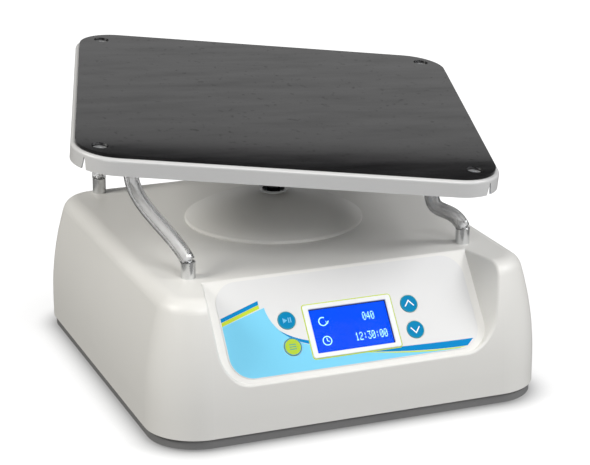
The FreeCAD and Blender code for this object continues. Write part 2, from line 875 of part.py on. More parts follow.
def make_base_spigots():
    posts, nuts = [], []
    under = "0 - wall - spigot_nut_thick"
    barb_end = "spigot_height + barb_length"
    for x, y in four("spigot_x", "spigot_y"):
        post = add_turned("post", [
            ("0", under + " - barb_tip"), ("stem_radius", under + " - barb_tip"), ("stem_radius", "0"),
            ("spigot_radius", "0"), ("spigot_radius", "spigot_height - spigot_edge"),
            ("spigot_radius - spigot_edge", "spigot_height"), ("barb_radius", "spigot_height"),
            ("barb_radius", barb_end + " - barb_lead"), ("barb_radius - barb_tip", barb_end),
            ("0", barb_end)])
        post.Placement = at(x, y, "top_z")
        posts.append(post)
        hexagon = add_prism("spigot_hex", "spigot_nut_flats", "spigot_nut_thick", x, y, "top_z + " + under)
        thread = add_cylinder("spigot_thread", "stem_radius + fit", "spigot_nut_thick", x, y,
                              "top_z + " + under)
        nuts.append(add_cut("spigot_nut", hexagon, [thread]))
    node(add_group("base_spigots", posts), "base_spigots")
    node(add_group("spigot_nuts", nuts), "spigot_nuts")


def rounded_path(spots):
    """Wire of straight runs joined by arcs, and the radii: less than the bend where a run is short."""
    edges, radii = [], []
    last = spots[0]
    for before, here, after in zip(spots, spots[1:], spots[2:]):
        back, ahead = (before - here).normalize(), (after - here).normalize()
        half_turn = (math.pi - back.getAngle(ahead)) / 2
        run = min((before - here).Length, (after - here).Length)
        radius = min(value("tube_bend"), 0.45 * run / math.tan(half_turn))
        cut = radius * math.tan(half_turn)
        start, end = here + back * cut, here + ahead * cut
        middle = here + (back + ahead).normalize() * (math.hypot(radius, cut) - radius)
        edges += [Part.LineSegment(last, start).toShape(), Part.Arc(start, middle, end).toShape()]
        radii.append(round(radius, 1))
        last = end
    edges.append(Part.LineSegment(last, spots[-1]).toShape())
    return Part.Wire(edges), radii


def tube_ends(x, y):
    """Ends of a tube, on a base spigot and on the platform spigot above it."""
    low = point(x, y, "top_z + spigot_height + fit")
    return low, platform_frame().multVec(point(x, y, "platform_spigot_end - fit"))


def flex_tube(name, low, high, length):
    """Flexible tube of a given length, upright at both ends, between two spigots."""
    down = platform_frame().Rotation.multVec(V(0, 0, -1))
    side = math.hypot(high.x - low.x, high.y - low.y)
    rise = high.z - low.z
    upright = (length ** 2 - side ** 2 - rise ** 2) / (2 * (length - rise))
    first = upright * value("tube_low_share")
    path, radii = rounded_path([low, low + V(0, 0, first), high + down * (upright - first), high])
    walls = []
    for radius in (value("tube_outer"), value("tube_bore")):
        ring = Part.Wire(Part.makeCircle(radius, low, V(0, 0, 1)))
        walls.append(path.makePipeShell([ring], True, False))
    item = doc.addObject("Part::Feature", name)
    item.Shape = walls[0].cut(walls[1])
    node(item, name)
    section = math.pi * (value("tube_outer") ** 2 - value("tube_bore") ** 2)
    share = item.Shape.Volume / (section * path.Length)
    print("%s: %.1f mm along its middle, bends %s, volume %.3f of section by length" %
          (name, path.Length, radii, share))


def make_tubes():
    """Four tubes of one length, which reaches the farthest spigot with some slack."""
    corners = (("flex_tube_front_left", "-", "-"), ("flex_tube_front_right", "", "-"),
               ("flex_tube_back_left", "-", ""), ("flex_tube_back_right", "", ""))
    ends = [tube_ends(x + "(spigot_x)", y + "(spigot_y)") for name, x, y in corners]
    length = max((high - low).Length for low, high in ends) + value("tube_slack")
    for (name, x, y), (low, high) in zip(corners, ends):
        flex_tube(name, low, high, length)


# Control panel

def make_overlay():
    body = add_body("overlay")
    outline = rounded("overlay_half", "0 - overlay_bottom", "0 - overlay_top", "overlay_corner")
    display = rounded("display_width / 2 + overlay_gap",
                      "0 - display_down - display_height / 2 - overlay_gap",
                      "0 - display_down + display_height / 2 + overlay_gap", "bezel_corner")
    circles = [(x, y, "button_radius + button_gap") for name, x, y in button_places()]
    add_pad(body, add_sketch(body, [outline, display], circles), "overlay_thick")
    node(in_panel(body), "panel_overlay")


def make_display():
    bezel = add_body("bezel")
    outer = rounded("display_width / 2", "0 - display_height / 2", "display_height / 2", "bezel_corner")
    view = rounded("display_view_width / 2", "0 - display_view_height / 2", "display_view_height / 2",
                   "view_corner")
    add_pad(bezel, add_sketch(bezel, [outer, view]), "bezel_proud")
    dress(bezel, "PartDesign::Chamfer", "bezel_proud", "Size", "bezel_chamfer")
    node(in_panel(bezel, y="0 - display_down"), "display_bezel")
    window = add_body("window")
    pane = rounded("opening_half_x - window_gap", "window_gap - opening_half_y",
                   "opening_half_y - window_gap",
                   "window_corner")
    add_pad(window, add_sketch(window, [pane], level="0 - window_thick"), "window_thick")
    node(in_panel(window, y="0 - display_down"), "display_window")
    glass = add_box("lcd_glass", "lcd_glass_gap - opening_half_x", "lcd_glass_gap - opening_half_y",
                    "0 - wall",
                    "2 * (opening_half_x - lcd_glass_gap)", "2 * (opening_half_y - lcd_glass_gap)",
                    "wall - window_thick")
    frame = add_box("lcd_frame", "0 - opening_half_x - lcd_rim", "0 - opening_half_y - lcd_rim", "lcd_back",
                    "2 * (opening_half_x + lcd_rim)", "2 * (opening_half_y + lcd_rim)", "lcd_depth")
    header = add_box("lcd_header", "0 - header_length / 2", "opening_half_y - header_inset", "board_front",
                     "header_length", "header_width", "lcd_back - board_front")
    lcd = add_union("lcd_module", [glass, frame, header])
    node(in_panel(lcd, y="0 - display_down"), "lcd_module")


def standoff_places():
    edge = "(board_half - standoff_edge)"
    return [(side + edge, level) for side in ("", "-")
            for level in ("0 - board_top - standoff_end", "standoff_end - board_bottom")]


def make_control_board():
    board = add_body("board")
    outline = rounded("board_half", "0 - board_bottom", "0 - board_top", "board_corner")
    holes = [(x, y, "board_screw_radius + hole_play") for x, y in standoff_places()]
    add_pad(board, add_sketch(board, [outline], holes, level="board_front - board_thick"), "board_thick")
    parts = [board]
    for name, x, y in button_places():
        case = add_box("switch_case", "%s - switch_side / 2" % x, "%s - switch_side / 2" % y, "board_front",
                       "switch_side", "switch_side", "switch_height - plunger_show")
        plunger = add_cylinder("switch_plunger", "plunger_radius", "plunger_height", x, y,
                               "switch_top - plunger_height")
        parts.append(add_union("key_switch", [case, plunger]))
    node(in_panel(add_group("control_board", parts)), "control_board")
    stands = []
    for x, y in standoff_places():
        stand = add_cylinder("stand", "standoff_radius", "0 - wall - board_front", x, y, "board_front")
        pilot = add_cylinder("stand_pilot", "standoff_pilot", "board_screw_length", x, y, "board_front")
        stands.append(add_cut("standoff", stand, [pilot]))
    node(in_panel(add_group("board_standoffs", stands)), "board_standoffs")
    add_screws("board_screws", standoff_places(), "board_front - board_thick", "board_screw_length",
               head="board_screw_head", head_thick="board_screw_thick", shank="board_screw_radius",
               frame=panel_frame())


def make_buttons():
    face = "overlay_thick + button_proud"
    for name, x, y in button_places():
        rim = "button_radius + button_flange"
        cap = add_turned(name + "_cap", [
            ("0", "button_back"), (rim, "button_back"), (rim, "button_back + button_flange_thick"),
            ("button_radius", "button_back + button_flange_thick"),
            ("button_radius", face + " - button_edge", "button_edge"), ("button_radius - button_edge", face),
            ("0", face)])
        node(in_panel(cap, x, y), name)


# Drive train

def square_plate(name, level, circles):
    body = add_body(name + "_body")
    half = "plate_side / 2"
    outline = rounded(half, "0 - " + half, half, "plate_corner")
    add_pad(body, add_sketch(body, [outline], circles, level=level), "plate_thick")
    node(body, name)


def hex_pillars(name, low, high, stud):
    pillars = []
    for x, y in four("pillar_spread", "pillar_spread"):
        length = "(%s) - (%s)" % (high, low)
        pillar = add_prism(name + "_hex", "2 * pillar_radius", length, x, y, low)
        if stud:
            tail = add_cylinder(name + "_stud", "pillar_stud", "plate_thick + stud_grip", x, y,
                                "%s - plate_thick - stud_grip" % low)
            pillar = add_union(name + "_long", [pillar, tail])
        tools = [add_cylinder(name + "_top", "pillar_stud + fit", "stud_grip", x, y, high + " - stud_grip")]
        if not stud:
            tools.append(add_cylinder(name + "_bottom", "screw_radius + fit", "pillar_screw_length", x,
                                      y, low))
        pillars.append(add_cut(name + "_one", pillar, tools))
    node(add_group(name, pillars), name)


def make_drive_frame():
    motor_holes = [(x, y, "screw_radius + hole_play") for x, y in four("motor_bolt", "motor_bolt")]
    pillar_holes = [(x, y, "pillar_stud + hole_play") for x, y in four("pillar_spread", "pillar_spread")]
    square_plate("motor_plate", "motor_plate_z",
                 [("0", "0", "motor_boss_hole")] + motor_holes + pillar_holes)
    cartridge_holes = [(x, y, "screw_radius + hole_play")
                       for x, y in four("cartridge_bolt", "cartridge_bolt")]
    square_plate("bearing_plate", "bearing_plate_z",
                 [("0", "0", "cartridge_radius + hole_play")] + cartridge_holes + pillar_holes)
    hex_pillars("lower_pillars", "floor_top", "motor_plate_z", False)
    hex_pillars("upper_pillars", "motor_plate_z + plate_thick", "bearing_plate_z", True)
    add_screws("plate_screws", four("pillar_spread", "pillar_spread"), "bearing_plate_z + plate_thick",
               "plate_thick + stud_grip", head="plate_screw_head", head_thick="plate_screw_thick",
               shank="pillar_stud", down=True)


def make_motor():
    bottom = "motor_plate_z - gearbox_length - motor_length"
    can = add_turned("can", [
        ("0", "motor_edge"), ("motor_eye", "motor_edge"), ("motor_eye", "0"),
        ("motor_radius - motor_edge", "0"),
        ("motor_radius", "motor_edge"),
        ("motor_radius", "motor_length"), ("0", "motor_length")])
    node(can, "motor_can", at("0", "0", bottom))
    gearbox = add_turned("gears", [
        ("0", "0"), ("gearbox_radius - gearbox_edge", "0"), ("gearbox_radius", "gearbox_edge"),
        ("gearbox_radius", "gearbox_length"), ("output_radius + output_play", "gearbox_length"),
        ("output_radius + output_play", "gearbox_length - gearbox_recess"),
        ("0", "gearbox_length - gearbox_recess")])
    gearbox.Placement = at("0", "0", "motor_plate_z - gearbox_length")
    taps = [add_cylinder("gear_tap", "screw_radius + fit", "bolt_depth", x, y, "motor_plate_z - bolt_depth")
            for x, y in four("motor_bolt", "motor_bolt")]
    node(add_cut("gearbox", gearbox, taps), "gearbox")
    add_screws("motor_screws", four("motor_bolt", "motor_bolt"), "motor_plate_z + plate_thick",
               "plate_thick + bolt_depth - motor_edge", down=True)
    low, top = "motor_plate_z - gearbox_recess + gearbox_edge", "(shaft_bottom - hole_play)"
    output = add_turned("output", [
        ("0", low), ("output_radius", low), ("output_radius", top + " - output_edge"),
        ("output_radius - output_edge", top), ("0", top)])
    node(output, "output_shaft")


def bearing_rings(places, bore, width, outer, ring, step, frame):
    """Outer rings with their shields, and inner rings, of a pair of sealed ball bearings."""
    outers, inners = [], []
    race = "%s + %s" % (bore, step)
    eye = race + " + shield_gap"
    for place in places:
        shell = add_turned("bearing_outer", [
            (eye, "0"), (outer, "0"), (outer, width), (eye, width), (eye, width + " - shield_thick"),
            ("%s - %s" % (outer, ring), width + " - shield_thick"),
            ("%s - %s" % (outer, ring), "shield_thick"),
            (eye, "shield_thick")])
        core = add_turned("bearing_inner", [
            (bore + " + fit", "0"), (race, "0"), (race, width), (bore + " + fit", width)])
        for item in (shell, core):
            item.Placement = frame.multiply(at("0", "0", place))
        outers.append(shell)
        inners.append(core)
    return outers, inners


def make_cartridge():
    flange_top = "cartridge_seat + cartridge_flange_thick"
    pocket, land = "bearing_outer + fit", "bearing_outer - cartridge_land"
    body = add_turned("cartridge", [
        (pocket, "cartridge_bottom"), ("cartridge_radius", "cartridge_bottom"),
        ("cartridge_radius", "cartridge_seat"), ("cartridge_flange", "cartridge_seat"),
        ("cartridge_flange", flange_top), ("cartridge_radius", flange_top),
        ("cartridge_radius", "cartridge_top - cartridge_edge"),
        ("cartridge_radius - cartridge_edge", "cartridge_top"), (pocket, "cartridge_top"),
        (pocket, "upper_race"),
        (land, "upper_race"), (land, "lower_race + bearing_width"), (pocket, "lower_race + bearing_width")])
    bolts = four("cartridge_bolt", "cartridge_bolt")
    holes = [add_cylinder("cartridge_hole", "screw_radius + hole_play", "cartridge_flange_thick", x, y,
                          "cartridge_seat") for x, y in bolts]
    node(add_cut("bearing_cartridge", body, holes), "bearing_cartridge")
    add_screws("cartridge_screws", bolts, flange_top, "plate_thick + cartridge_flange_thick", down=True)
    outers, inners = bearing_rings(["lower_race", "upper_race"], "shaft_radius", "bearing_width",
                                   "bearing_outer", "ring_thick", "race_step", FreeCAD.Placement())
    node(add_group("shaft_bearing_outer_rings", outers), "shaft_bearing_outer_rings")
    node(add_group("shaft_bearing_inner_rings", inners), "shaft_bearing_inner_rings")


def make_crank():
    shaft = add_turned("shaft", [
        ("0", "shaft_bottom"), ("shaft_radius - shaft_edge", "shaft_bottom"),
        ("shaft_radius", "shaft_bottom + shaft_edge"), ("shaft_radius", "lower_race + bearing_width"),
        ("shaft_shoulder", "lower_race + bearing_width"), ("shaft_shoulder", "upper_race"),
        ("shaft_radius", "upper_race"), ("shaft_radius", "shaft_top - shaft_edge"),
        ("shaft_radius - shaft_edge", "shaft_top"), ("0", "shaft_top")])
    node(shaft, "drive_shaft")
    sleeve = add_turned("sleeve", [
        ("output_radius + fit", "coupling_bottom"), ("coupling_radius - coupling_edge", "coupling_bottom"),
        ("coupling_radius", "coupling_bottom + coupling_edge"),
        ("coupling_radius", "coupling_top - coupling_edge"),
        ("coupling_radius - coupling_edge", "coupling_top"), ("shaft_radius + fit", "coupling_top"),
        ("shaft_radius + fit", "shaft_bottom"), ("output_radius + fit", "shaft_bottom")])
    taps, grubs = [], []
    for bore, level in (("output_radius", "coupling_bottom + grub_inset"),
                        ("shaft_radius", "coupling_top - grub_inset")):
        start = "%s + hole_play" % bore
        reach = "coupling_radius - %s" % bore
        turn = FreeCAD.Placement(point(start, "0", level), FreeCAD.Rotation(V(0, 1, 0), 90))
        tap = add_cylinder("coupling_tap", "screw_radius + fit", reach)
        grub = add_cylinder("coupling_grub", "screw_radius", reach + " - grub_short")
        taps.append(put(tap, turn))
        grubs.append(put(grub, turn))
    node(add_cut("shaft_coupling", sleeve, taps), "shaft_coupling")
    node(add_group("coupling_screws", grubs), "coupling_screws")
    head = add_turned("head", [
        ("0", "head_bottom"), ("head_radius - head_edge", "head_bottom"),
        ("head_radius", "head_bottom + head_edge"), ("head_radius", "head_top - head_edge"),
        ("head_radius - head_edge", "head_top"), ("0", "head_top")])
    bore = add_cylinder("head_bore", "shaft_radius + fit", "shaft_in_head + hole_play", z="head_bottom")
    pin_bore = add_cylinder("pin_bore", "pin_radius + fit", "pin_bottom")
    put(pin_bore, pin_frame().multiply(at("0", "0", "0 - pin_bottom - hole_play")))
    pin_seat = add_cylinder("pin_seat", "pin_shoulder + fit", "pin_bottom")
    put(pin_seat, pin_frame().multiply(at("0", "0", "0 - pin_shoulder_drop")))
    node(add_cut("crank_head", head, [bore, pin_bore, pin_seat]), "crank_head")
    groove, above = "pin_radius - clip_depth", "clip_bottom + clip_groove"
    pin = add_turned("pin", [
        ("0", "0 - pin_bottom"), ("pin_radius", "0 - pin_bottom"), ("pin_radius", "0 - pin_shoulder_drop"),
        ("pin_shoulder", "0 - pin_shoulder_drop"), ("pin_shoulder", "lower_pin_race - coupling_edge"),
        ("pin_radius + pin_step", "lower_pin_race"), ("pin_radius", "lower_pin_race"),
        ("pin_radius", "clip_bottom"),
        (groove, "clip_bottom"), (groove, above), ("pin_radius", above),
        ("pin_radius", "pin_top - pin_edge"),
        ("pin_radius - pin_edge", "pin_top"), ("0", "pin_top")])
    node(pin, "crank_pin", pin_frame())
    clip_low, clip_high, clip_eye = "clip_bottom + fit", "clip_bottom + fit + clip_thick", groove + " + fit"
    clip = add_turned("clip", [
        (clip_eye, clip_low), ("pin_radius + pin_step", clip_low), ("pin_radius + pin_step", clip_high),
        (clip_eye, clip_high)])
    node(clip, "pin_circlip", pin_frame())
    below = "lower_pin_race + bearing_width"
    spacer = add_turned("spacer", [
        ("pin_radius + fit", below), ("pin_radius + pin_step", below),
        ("pin_radius + pin_step", "upper_pin_race"),
        ("pin_radius + fit", "upper_pin_race")])
    node(spacer, "pin_spacer", pin_frame())


# Platform

def make_hub():
    pocket = "pin_bearing_outer + fit"
    land = "pin_bearing_outer - hub_land"
    body = add_turned("hub", [
        (pocket, "0 - hub_bottom"), ("hub_radius - hub_edge", "0 - hub_bottom"),
        ("hub_radius", "hub_edge - hub_bottom"), ("hub_radius", "flange_under - hub_fillet", "-hub_fillet"),
        ("hub_radius + hub_fillet", "flange_under"),
        ("hub_flange", "flange_under"), ("hub_flange", "tray_under"), (pocket, "tray_under"),
        (pocket, "upper_pin_race"), (land, "upper_pin_race"), (land, "lower_pin_race + bearing_width"),
        (pocket, "lower_pin_race + bearing_width")])
    holes = [add_cylinder("hub_hole", "stud_radius + fit", "hub_flange_thick", x, y, "flange_under")
             for x, y in four("hub_bolt", "hub_bolt")]
    hub = add_cut("platform_hub", body, holes)
    node(hub, "platform_hub", platform_frame())
    outers, inners = bearing_rings(["lower_pin_race", "upper_pin_race"], "pin_radius", "bearing_width",
                                   "pin_bearing_outer", "ring_thick", "race_step", pin_frame())
    node(add_group("pin_bearing_outer_rings", outers), "pin_bearing_outer_rings")
    node(add_group("pin_bearing_inner_rings", inners), "pin_bearing_inner_rings")
    studs, nuts = [], []
    for x, y in four("hub_bolt", "hub_bolt"):
        studs.append(add_cylinder("stud", "stud_radius", "tray_above - flange_under + stud_tail", x, y,
                                  "flange_under - stud_tail"))
        hexagon = add_prism("stud_hex", "spigot_nut_flats", "spigot_nut_thick", x, y,
                            "flange_under - spigot_nut_thick")
        thread = add_cylinder("stud_thread", "stud_radius + fit", "spigot_nut_thick", x, y,
                              "flange_under - spigot_nut_thick")
        nuts.append(add_cut("stud_nut", hexagon, [thread]))
    node(add_group("hub_studs", studs), "hub_studs", platform_frame())
    node(add_group("hub_nuts", nuts), "hub_nuts", platform_frame())


def slit_tool():
    """Relief slit through one skirt corner, narrow at its round top and open at the skirt's lower edge."""
    body = add_body("slit")
    low, top = "tray_above - tray_skirt", "tray_above - slit_depth"
    outline = [("0 - slit_bottom", low), ("slit_bottom", low), ("slit_top", top, "1.2 * slit_top"),
               ("0 - slit_top", top)]
    add_pad(body, add_sketch(body, [outline], role="XZ_Plane"), "tray_corner", both=True)
    return body


def tray_places(spot):
    """Places on the tray of the tube spigots, the hub's studs or the corner inserts."""
    reach = {"spigot": ("spigot_x", "spigot_y"), "hub": ("hub_bolt", "hub_bolt"),
             "insert": ("mat_hole_offset", "mat_hole_offset")}[spot]
    return four(*reach)


def make_tray():
    body = add_body("tray_body")
    half = "tray_side / 2"
    outline = rounded(half, "0 - " + half, half, "tray_corner")
    add_pad(body, add_sketch(body, [outline], level="tray_above - tray_skirt"), "tray_skirt")
    dress(body, "PartDesign::Fillet", "tray_above", "Radius", "tray_edge + tray_sheet")
    inside = rounded(half + " - tray_sheet", "tray_sheet - " + half, half + " - tray_sheet",
                     "(tray_corner - tray_sheet)")
    add_pocket(body, add_sketch(body, [inside], level="tray_above - tray_skirt"), "tray_skirt - tray_sheet",
               up=True)
    tools = []
    reach = value("tray_side") / 2 - value("tray_corner") * (1 - math.sqrt(0.5))
    for quarter in range(4):
        slit = slit_tool()
        turn = FreeCAD.Rotation(V(0, 0, 1), 45 + 90 * quarter)
        slit.Placement = FreeCAD.Placement(turn.multVec(V(0, -reach * math.sqrt(2), 0)), turn)
        tools.append(slit)
    for spot, radius in (("spigot", "stem_radius"), ("hub", "stud_radius"), ("insert", "insert_radius")):
        for x, y in tray_places(spot):
            tools.append(add_cylinder("tray_hole", radius + " + fit", "tray_sheet", x, y, "tray_under"))
    node(add_cut("tray", body, tools), "tray", platform_frame())


def make_platform_fittings():
    mat = add_body("mat")
    half = "(tray_side / 2 - mat_margin)"
    outline = rounded(half, "0 - " + half, half, "(tray_corner - mat_margin)")
    holes = [(x, y, "mat_hole_radius") for x, y in four("mat_hole_offset", "mat_hole_offset")]
    add_pad(mat, add_sketch(mat, [outline], holes, level="tray_above"), "mat_thick")
    node(mat, "platform_mat", platform_frame())
    posts, inserts = [], []
    barb_end = "platform_spigot_end - barb_length"
    for x, y in four("spigot_x", "spigot_y"):
        post = add_turned("platform_post", [
            ("0", barb_end), ("barb_radius - barb_tip", barb_end),
            ("barb_radius", barb_end + " + barb_lead"),
            ("barb_radius", "platform_spigot_end"), ("spigot_radius", "platform_spigot_end"),
            ("spigot_radius", "tray_under"), ("stem_radius", "tray_under"), ("stem_radius", "tray_above"),
            ("0", "tray_above")])
        post.Placement = at(x, y, "0")
        posts.append(post)
    for x, y in four("mat_hole_offset", "mat_hole_offset"):
        insert = add_turned("insert", [
            ("insert_bore", "tray_above - insert_length"), ("insert_radius", "tray_above - insert_length"),
            ("insert_radius", "tray_above"), ("insert_radius + insert_rim", "tray_above"),
            ("insert_radius + insert_rim", "tray_above + insert_rim_thick"),
            ("insert_bore", "tray_above + insert_rim_thick")])
        insert.Placement = at(x, y, "0")
        inserts.append(insert)
    node(add_group("platform_spigots", posts), "platform_spigots", platform_frame())
    node(add_group("corner_inserts", inserts), "corner_inserts", platform_frame())


# Rear power entry and driver board

def flat_box(name, half_x, half_y, low, height):
    """Box centred on x and y."""
    return add_box(name, "-(%s)" % half_x, "-(%s)" % half_y, low, "2 * (%s)" % half_x,
                   "2 * (%s)" % half_y, height)


def make_power_entry():
    jack = add_turned("jack", [
        ("0", "-jack_length"), ("jack_barrel", "-jack_length"), ("jack_barrel", "0"), ("jack_flange", "0"),
        ("jack_flange", "jack_flange_thick - jack_edge"), ("jack_flange - jack_edge", "jack_flange_thick"),
        ("jack_hole", "jack_flange_thick"), ("jack_hole", "jack_flange_thick - jack_depth"),
        ("jack_pin", "jack_flange_thick - jack_depth"), ("jack_pin", "jack_flange_thick - jack_pin_low"),
        ("0", "jack_flange_thick - jack_pin_low")])
    node(jack, "power_jack", rear_frame("jack_x"))
    hexagon = add_prism("jack_hex", "jack_nut_flats", "jack_nut_thick", z="0 - wall - jack_nut_thick")
    thread = add_cylinder("jack_thread", "jack_barrel + fit", "jack_nut_thick",
                          z="0 - wall - jack_nut_thick")
    node(add_cut("jack_nut", hexagon, [thread]), "jack_nut", rear_frame("jack_x"))
    flange = flat_box("switch_flange", "switch_opening + switch_rim",
                      "switch_opening_tall + switch_rim", "0",
                      "switch_rim")
    case = flat_box("switch_body", "switch_opening + switch_wall", "switch_opening_tall + switch_wall",
                    "-switch_case", "switch_case")
    room = flat_box("switch_room", "switch_opening", "switch_opening_tall", "-switch_room",
                    "switch_room + switch_rim + wall")
    pivot = add_cylinder("switch_pivot", "rocker_axle + fit", "2 * (switch_opening_tall + switch_rim)")
    across = FreeCAD.Rotation(V(1, 0, 0), -90)
    put(pivot, FreeCAD.Placement(point("0", "0 - switch_opening_tall - switch_rim",
                                       "-rocker_axle_drop"), across))
    tabs = [add_box("switch_tab", middle + " - tab_thick / 2", "0 - tab_width / 2",
                    "0 - switch_case - tab_length",
                    "tab_thick", "tab_width", "tab_length") for middle in ("tab_out", "0 - tab_out")]
    solid = add_union("switch_solid", [flange, case] + tabs)
    node(add_cut("switch_frame", solid, [room, pivot]), "switch_frame", rear_frame("switch_x"))
    body = add_body("rocker_body")
    outline = [("-rocker_foot", "-rocker_foot"), ("rocker_foot", "-rocker_foot"), ("rocker_waist", "0"),
               ("rocker_tip", "rocker_rise"), ("0", "rocker_dip"), ("-rocker_tip", "rocker_rise"),
               ("-rocker_waist", "0")]
    sketch = add_sketch(body, [outline], role="XZ_Plane")
    add_pad(body, sketch, "2 * (switch_opening_tall - rocker_play)", both=True)
    axle = add_cylinder("axle", "rocker_axle", "2 * (switch_opening_tall + switch_wall)")
    put(axle, FreeCAD.Placement(point("0", "0 - switch_opening_tall - switch_wall", "0"), across))
    swing = FreeCAD.Placement(point("0", "0", "-rocker_axle_drop"),
                              FreeCAD.Rotation(V(0, 1, 0), value("rocker_swing")))
    rocker = add_union("power_rocker", [body, axle])
    node(rocker, "power_rocker", rear_frame("switch_x").multiply(swing))


def driver_places():
    x0, y0 = "driver_width / 2 - peg_inset", "driver_depth / 2 - peg_inset"
    return [("driver_x + %s" % x, "driver_y + %s" % y) for x, y in four(x0, y0)]


def make_driver_board():
    level = "floor_top + driver_stand"
    top = level + " + board_thick"
    left, front = "driver_x - driver_width / 2", "driver_y - driver_depth / 2"
    slab = add_box("driver_slab", left, front, level, "driver_width", "driver_depth", "board_thick")
    pegs = [add_cylinder("driver_hole", "peg_pin + hole_play", "board_thick", x, y, level)
            for x, y in driver_places()]
    parts = [add_cut("driver_pcb", slab, pegs)]
    for side in ("+", "-"):
        parts.append(add_cylinder("capacitor", "capacitor_radius", "capacitor_height",
                                  "driver_x %s 1.5 * capacitor_radius" % side,
                                  "driver_y + driver_depth / 4", top))
    parts.append(add_box("transformer", "driver_x - coil_length / 2", "driver_y - coil_width / 2", top,
                         "coil_length", "coil_width", "coil_height"))
    sink_x, sink_y = "driver_x - sink_length / 2", "driver_y - driver_depth / 4 - sink_width"
    sink = [add_box("fin_base", sink_x, sink_y, top, "sink_length", "sink_width", "fin_thick")]
    for share in range(6):
        sink.append(add_box("fin", "%s + %d / 5 * (sink_length - fin_thick)" % (sink_x, share), sink_y, top,
                            "fin_thick", "sink_width", "sink_height"))
    parts.append(add_union("heat_sink", sink))
    node(add_group("driver_board", parts), "driver_board")


def check_and_export():
    """Stop on any failed object, then write one STEP file for each piece."""
    doc.recompute()
    bad = [item.Name for item in doc.Objects if "Invalid" in item.State or "Error" in item.State]
    bad += [item.Label for item in nodes if item.Shape.isNull() or not item.Shape.isValid()]
    if bad:
        raise RuntimeError("failed: " + ", ".join(bad))
    os.makedirs("parts", exist_ok=True)
    for item in nodes:
        item.Shape.exportStep("parts/%s.step" % item.Label)
    print(len(nodes), "pieces written")


make_housing()
make_base_plate()
make_feet()
make_dome()
make_base_spigots()
make_tubes()
make_overlay()
make_display()
make_control_board()
make_buttons()
make_drive_frame()
make_motor()
make_cartridge()
make_crank()
make_hub()
make_tray()
make_platform_fittings()
make_power_entry()
make_driver_board()
check_and_export()
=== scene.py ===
"""Looks of a bench shaker: a square matted platform that nutates over a motor base."""
import json
import math

import bpy
from mathutils import Matrix, Vector

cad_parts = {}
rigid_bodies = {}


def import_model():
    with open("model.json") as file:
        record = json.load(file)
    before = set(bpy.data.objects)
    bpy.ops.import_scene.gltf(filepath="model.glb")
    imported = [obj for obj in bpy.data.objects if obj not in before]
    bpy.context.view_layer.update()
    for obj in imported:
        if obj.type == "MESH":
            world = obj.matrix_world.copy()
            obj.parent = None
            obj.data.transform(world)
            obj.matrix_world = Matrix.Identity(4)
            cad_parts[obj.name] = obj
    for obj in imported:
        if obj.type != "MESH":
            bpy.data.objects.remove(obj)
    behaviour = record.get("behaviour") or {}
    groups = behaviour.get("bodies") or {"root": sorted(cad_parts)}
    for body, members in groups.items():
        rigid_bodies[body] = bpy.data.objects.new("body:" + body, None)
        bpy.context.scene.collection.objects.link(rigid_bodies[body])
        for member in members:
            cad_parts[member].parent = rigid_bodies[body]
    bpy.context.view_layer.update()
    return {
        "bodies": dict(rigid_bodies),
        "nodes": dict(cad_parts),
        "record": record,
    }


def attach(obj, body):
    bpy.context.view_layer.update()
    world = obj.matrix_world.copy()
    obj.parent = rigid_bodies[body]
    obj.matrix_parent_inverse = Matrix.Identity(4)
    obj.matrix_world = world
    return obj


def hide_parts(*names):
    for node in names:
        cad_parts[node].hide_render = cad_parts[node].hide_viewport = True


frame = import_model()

# Sizes in millimetres, as in the construction
MM = 0.001
PANEL_BACK = 149
PANEL_SLOPE = 51.8
TOP_HEIGHT = 125.5
OVERLAY_LEVEL = 0.5
OVERLAY_LEFT = -112
OVERLAY_BOTTOM = 87.4
OVERLAY_CORNER = 19
DISPLAY_DOWN = 55
BEZEL_HALF = (39.8, 23.4)
BEZEL_CORNER = 2
VIEW_HALF = (35.2, 19.35)
GLASS_LEVEL = -1
KEY_SIDE = 55.7
KEY_UPPER = 42.2
KEY_LOWER = 65.5
KEY_FACE = 0.9
KEY_RADIUS = 7.7
KEY_GAP = 0.5
TUBE_RADIUS = 6.35
TUBE_BORE = 4
SPIGOT_X = 126.5
SPIGOT_Y = 132
SPIGOT_TOP = 140.05
PLATFORM_SPIGOT_END = 4.45
NUTATION_HEIGHT = 220
TILT = 6.4
LEAN = -50.2
PLATFORM_YAW = -16.4
PLINTH_MIDDLE = (0, -22)
PLINTH_HALF = (174.7, 183.7)
PLINTH_CORNER = 42.8

BASE = "base"
PLATFORM = "platform"


def turn(axis, degrees):
    return Matrix.Rotation(math.radians(degrees), 4, axis)


def shift(x, y, z):
    return Matrix.Translation(Vector((x, y, z)) * MM)


PANEL = shift(0, -PANEL_BACK, TOP_HEIGHT) @ turn("X", PANEL_SLOPE)
DISPLAY_FACE = PANEL @ shift(0, -DISPLAY_DOWN, GLASS_LEVEL)
DECK = (shift(0, 0, NUTATION_HEIGHT) @ turn("Z", LEAN) @ turn("Y", TILT) @ turn("Z", -LEAN)
        @ turn("Z", PLATFORM_YAW))


def srgb(red, green, blue):
    """Linear colour, with alpha, of a colour seen as three numbers up to 255."""
    levels = [value / 255 for value in (red, green, blue)]
    return tuple(v / 12.92 if v <= 0.04045 else ((v + 0.055) / 1.055) ** 2.4 for v in levels) + (1.0,)


# Node helpers

def add(tree, kind, **settings):
    """A node with its properties set."""
    made = tree.nodes.new("ShaderNode" + kind)
    for name, value in settings.items():
        setattr(made, name, value)
    return made


def feed(tree, target, value):
    """Link a socket to an input, or set the input to a plain value."""
    if isinstance(value, bpy.types.NodeSocket):
        tree.links.new(value, target)
    else:
        target.default_value = value


def math_node(tree, operation, *values):
    made = add(tree, "Math", operation=operation)
    for target, value in zip(made.inputs, values):
        feed(tree, target, value)
    return made.outputs[0]


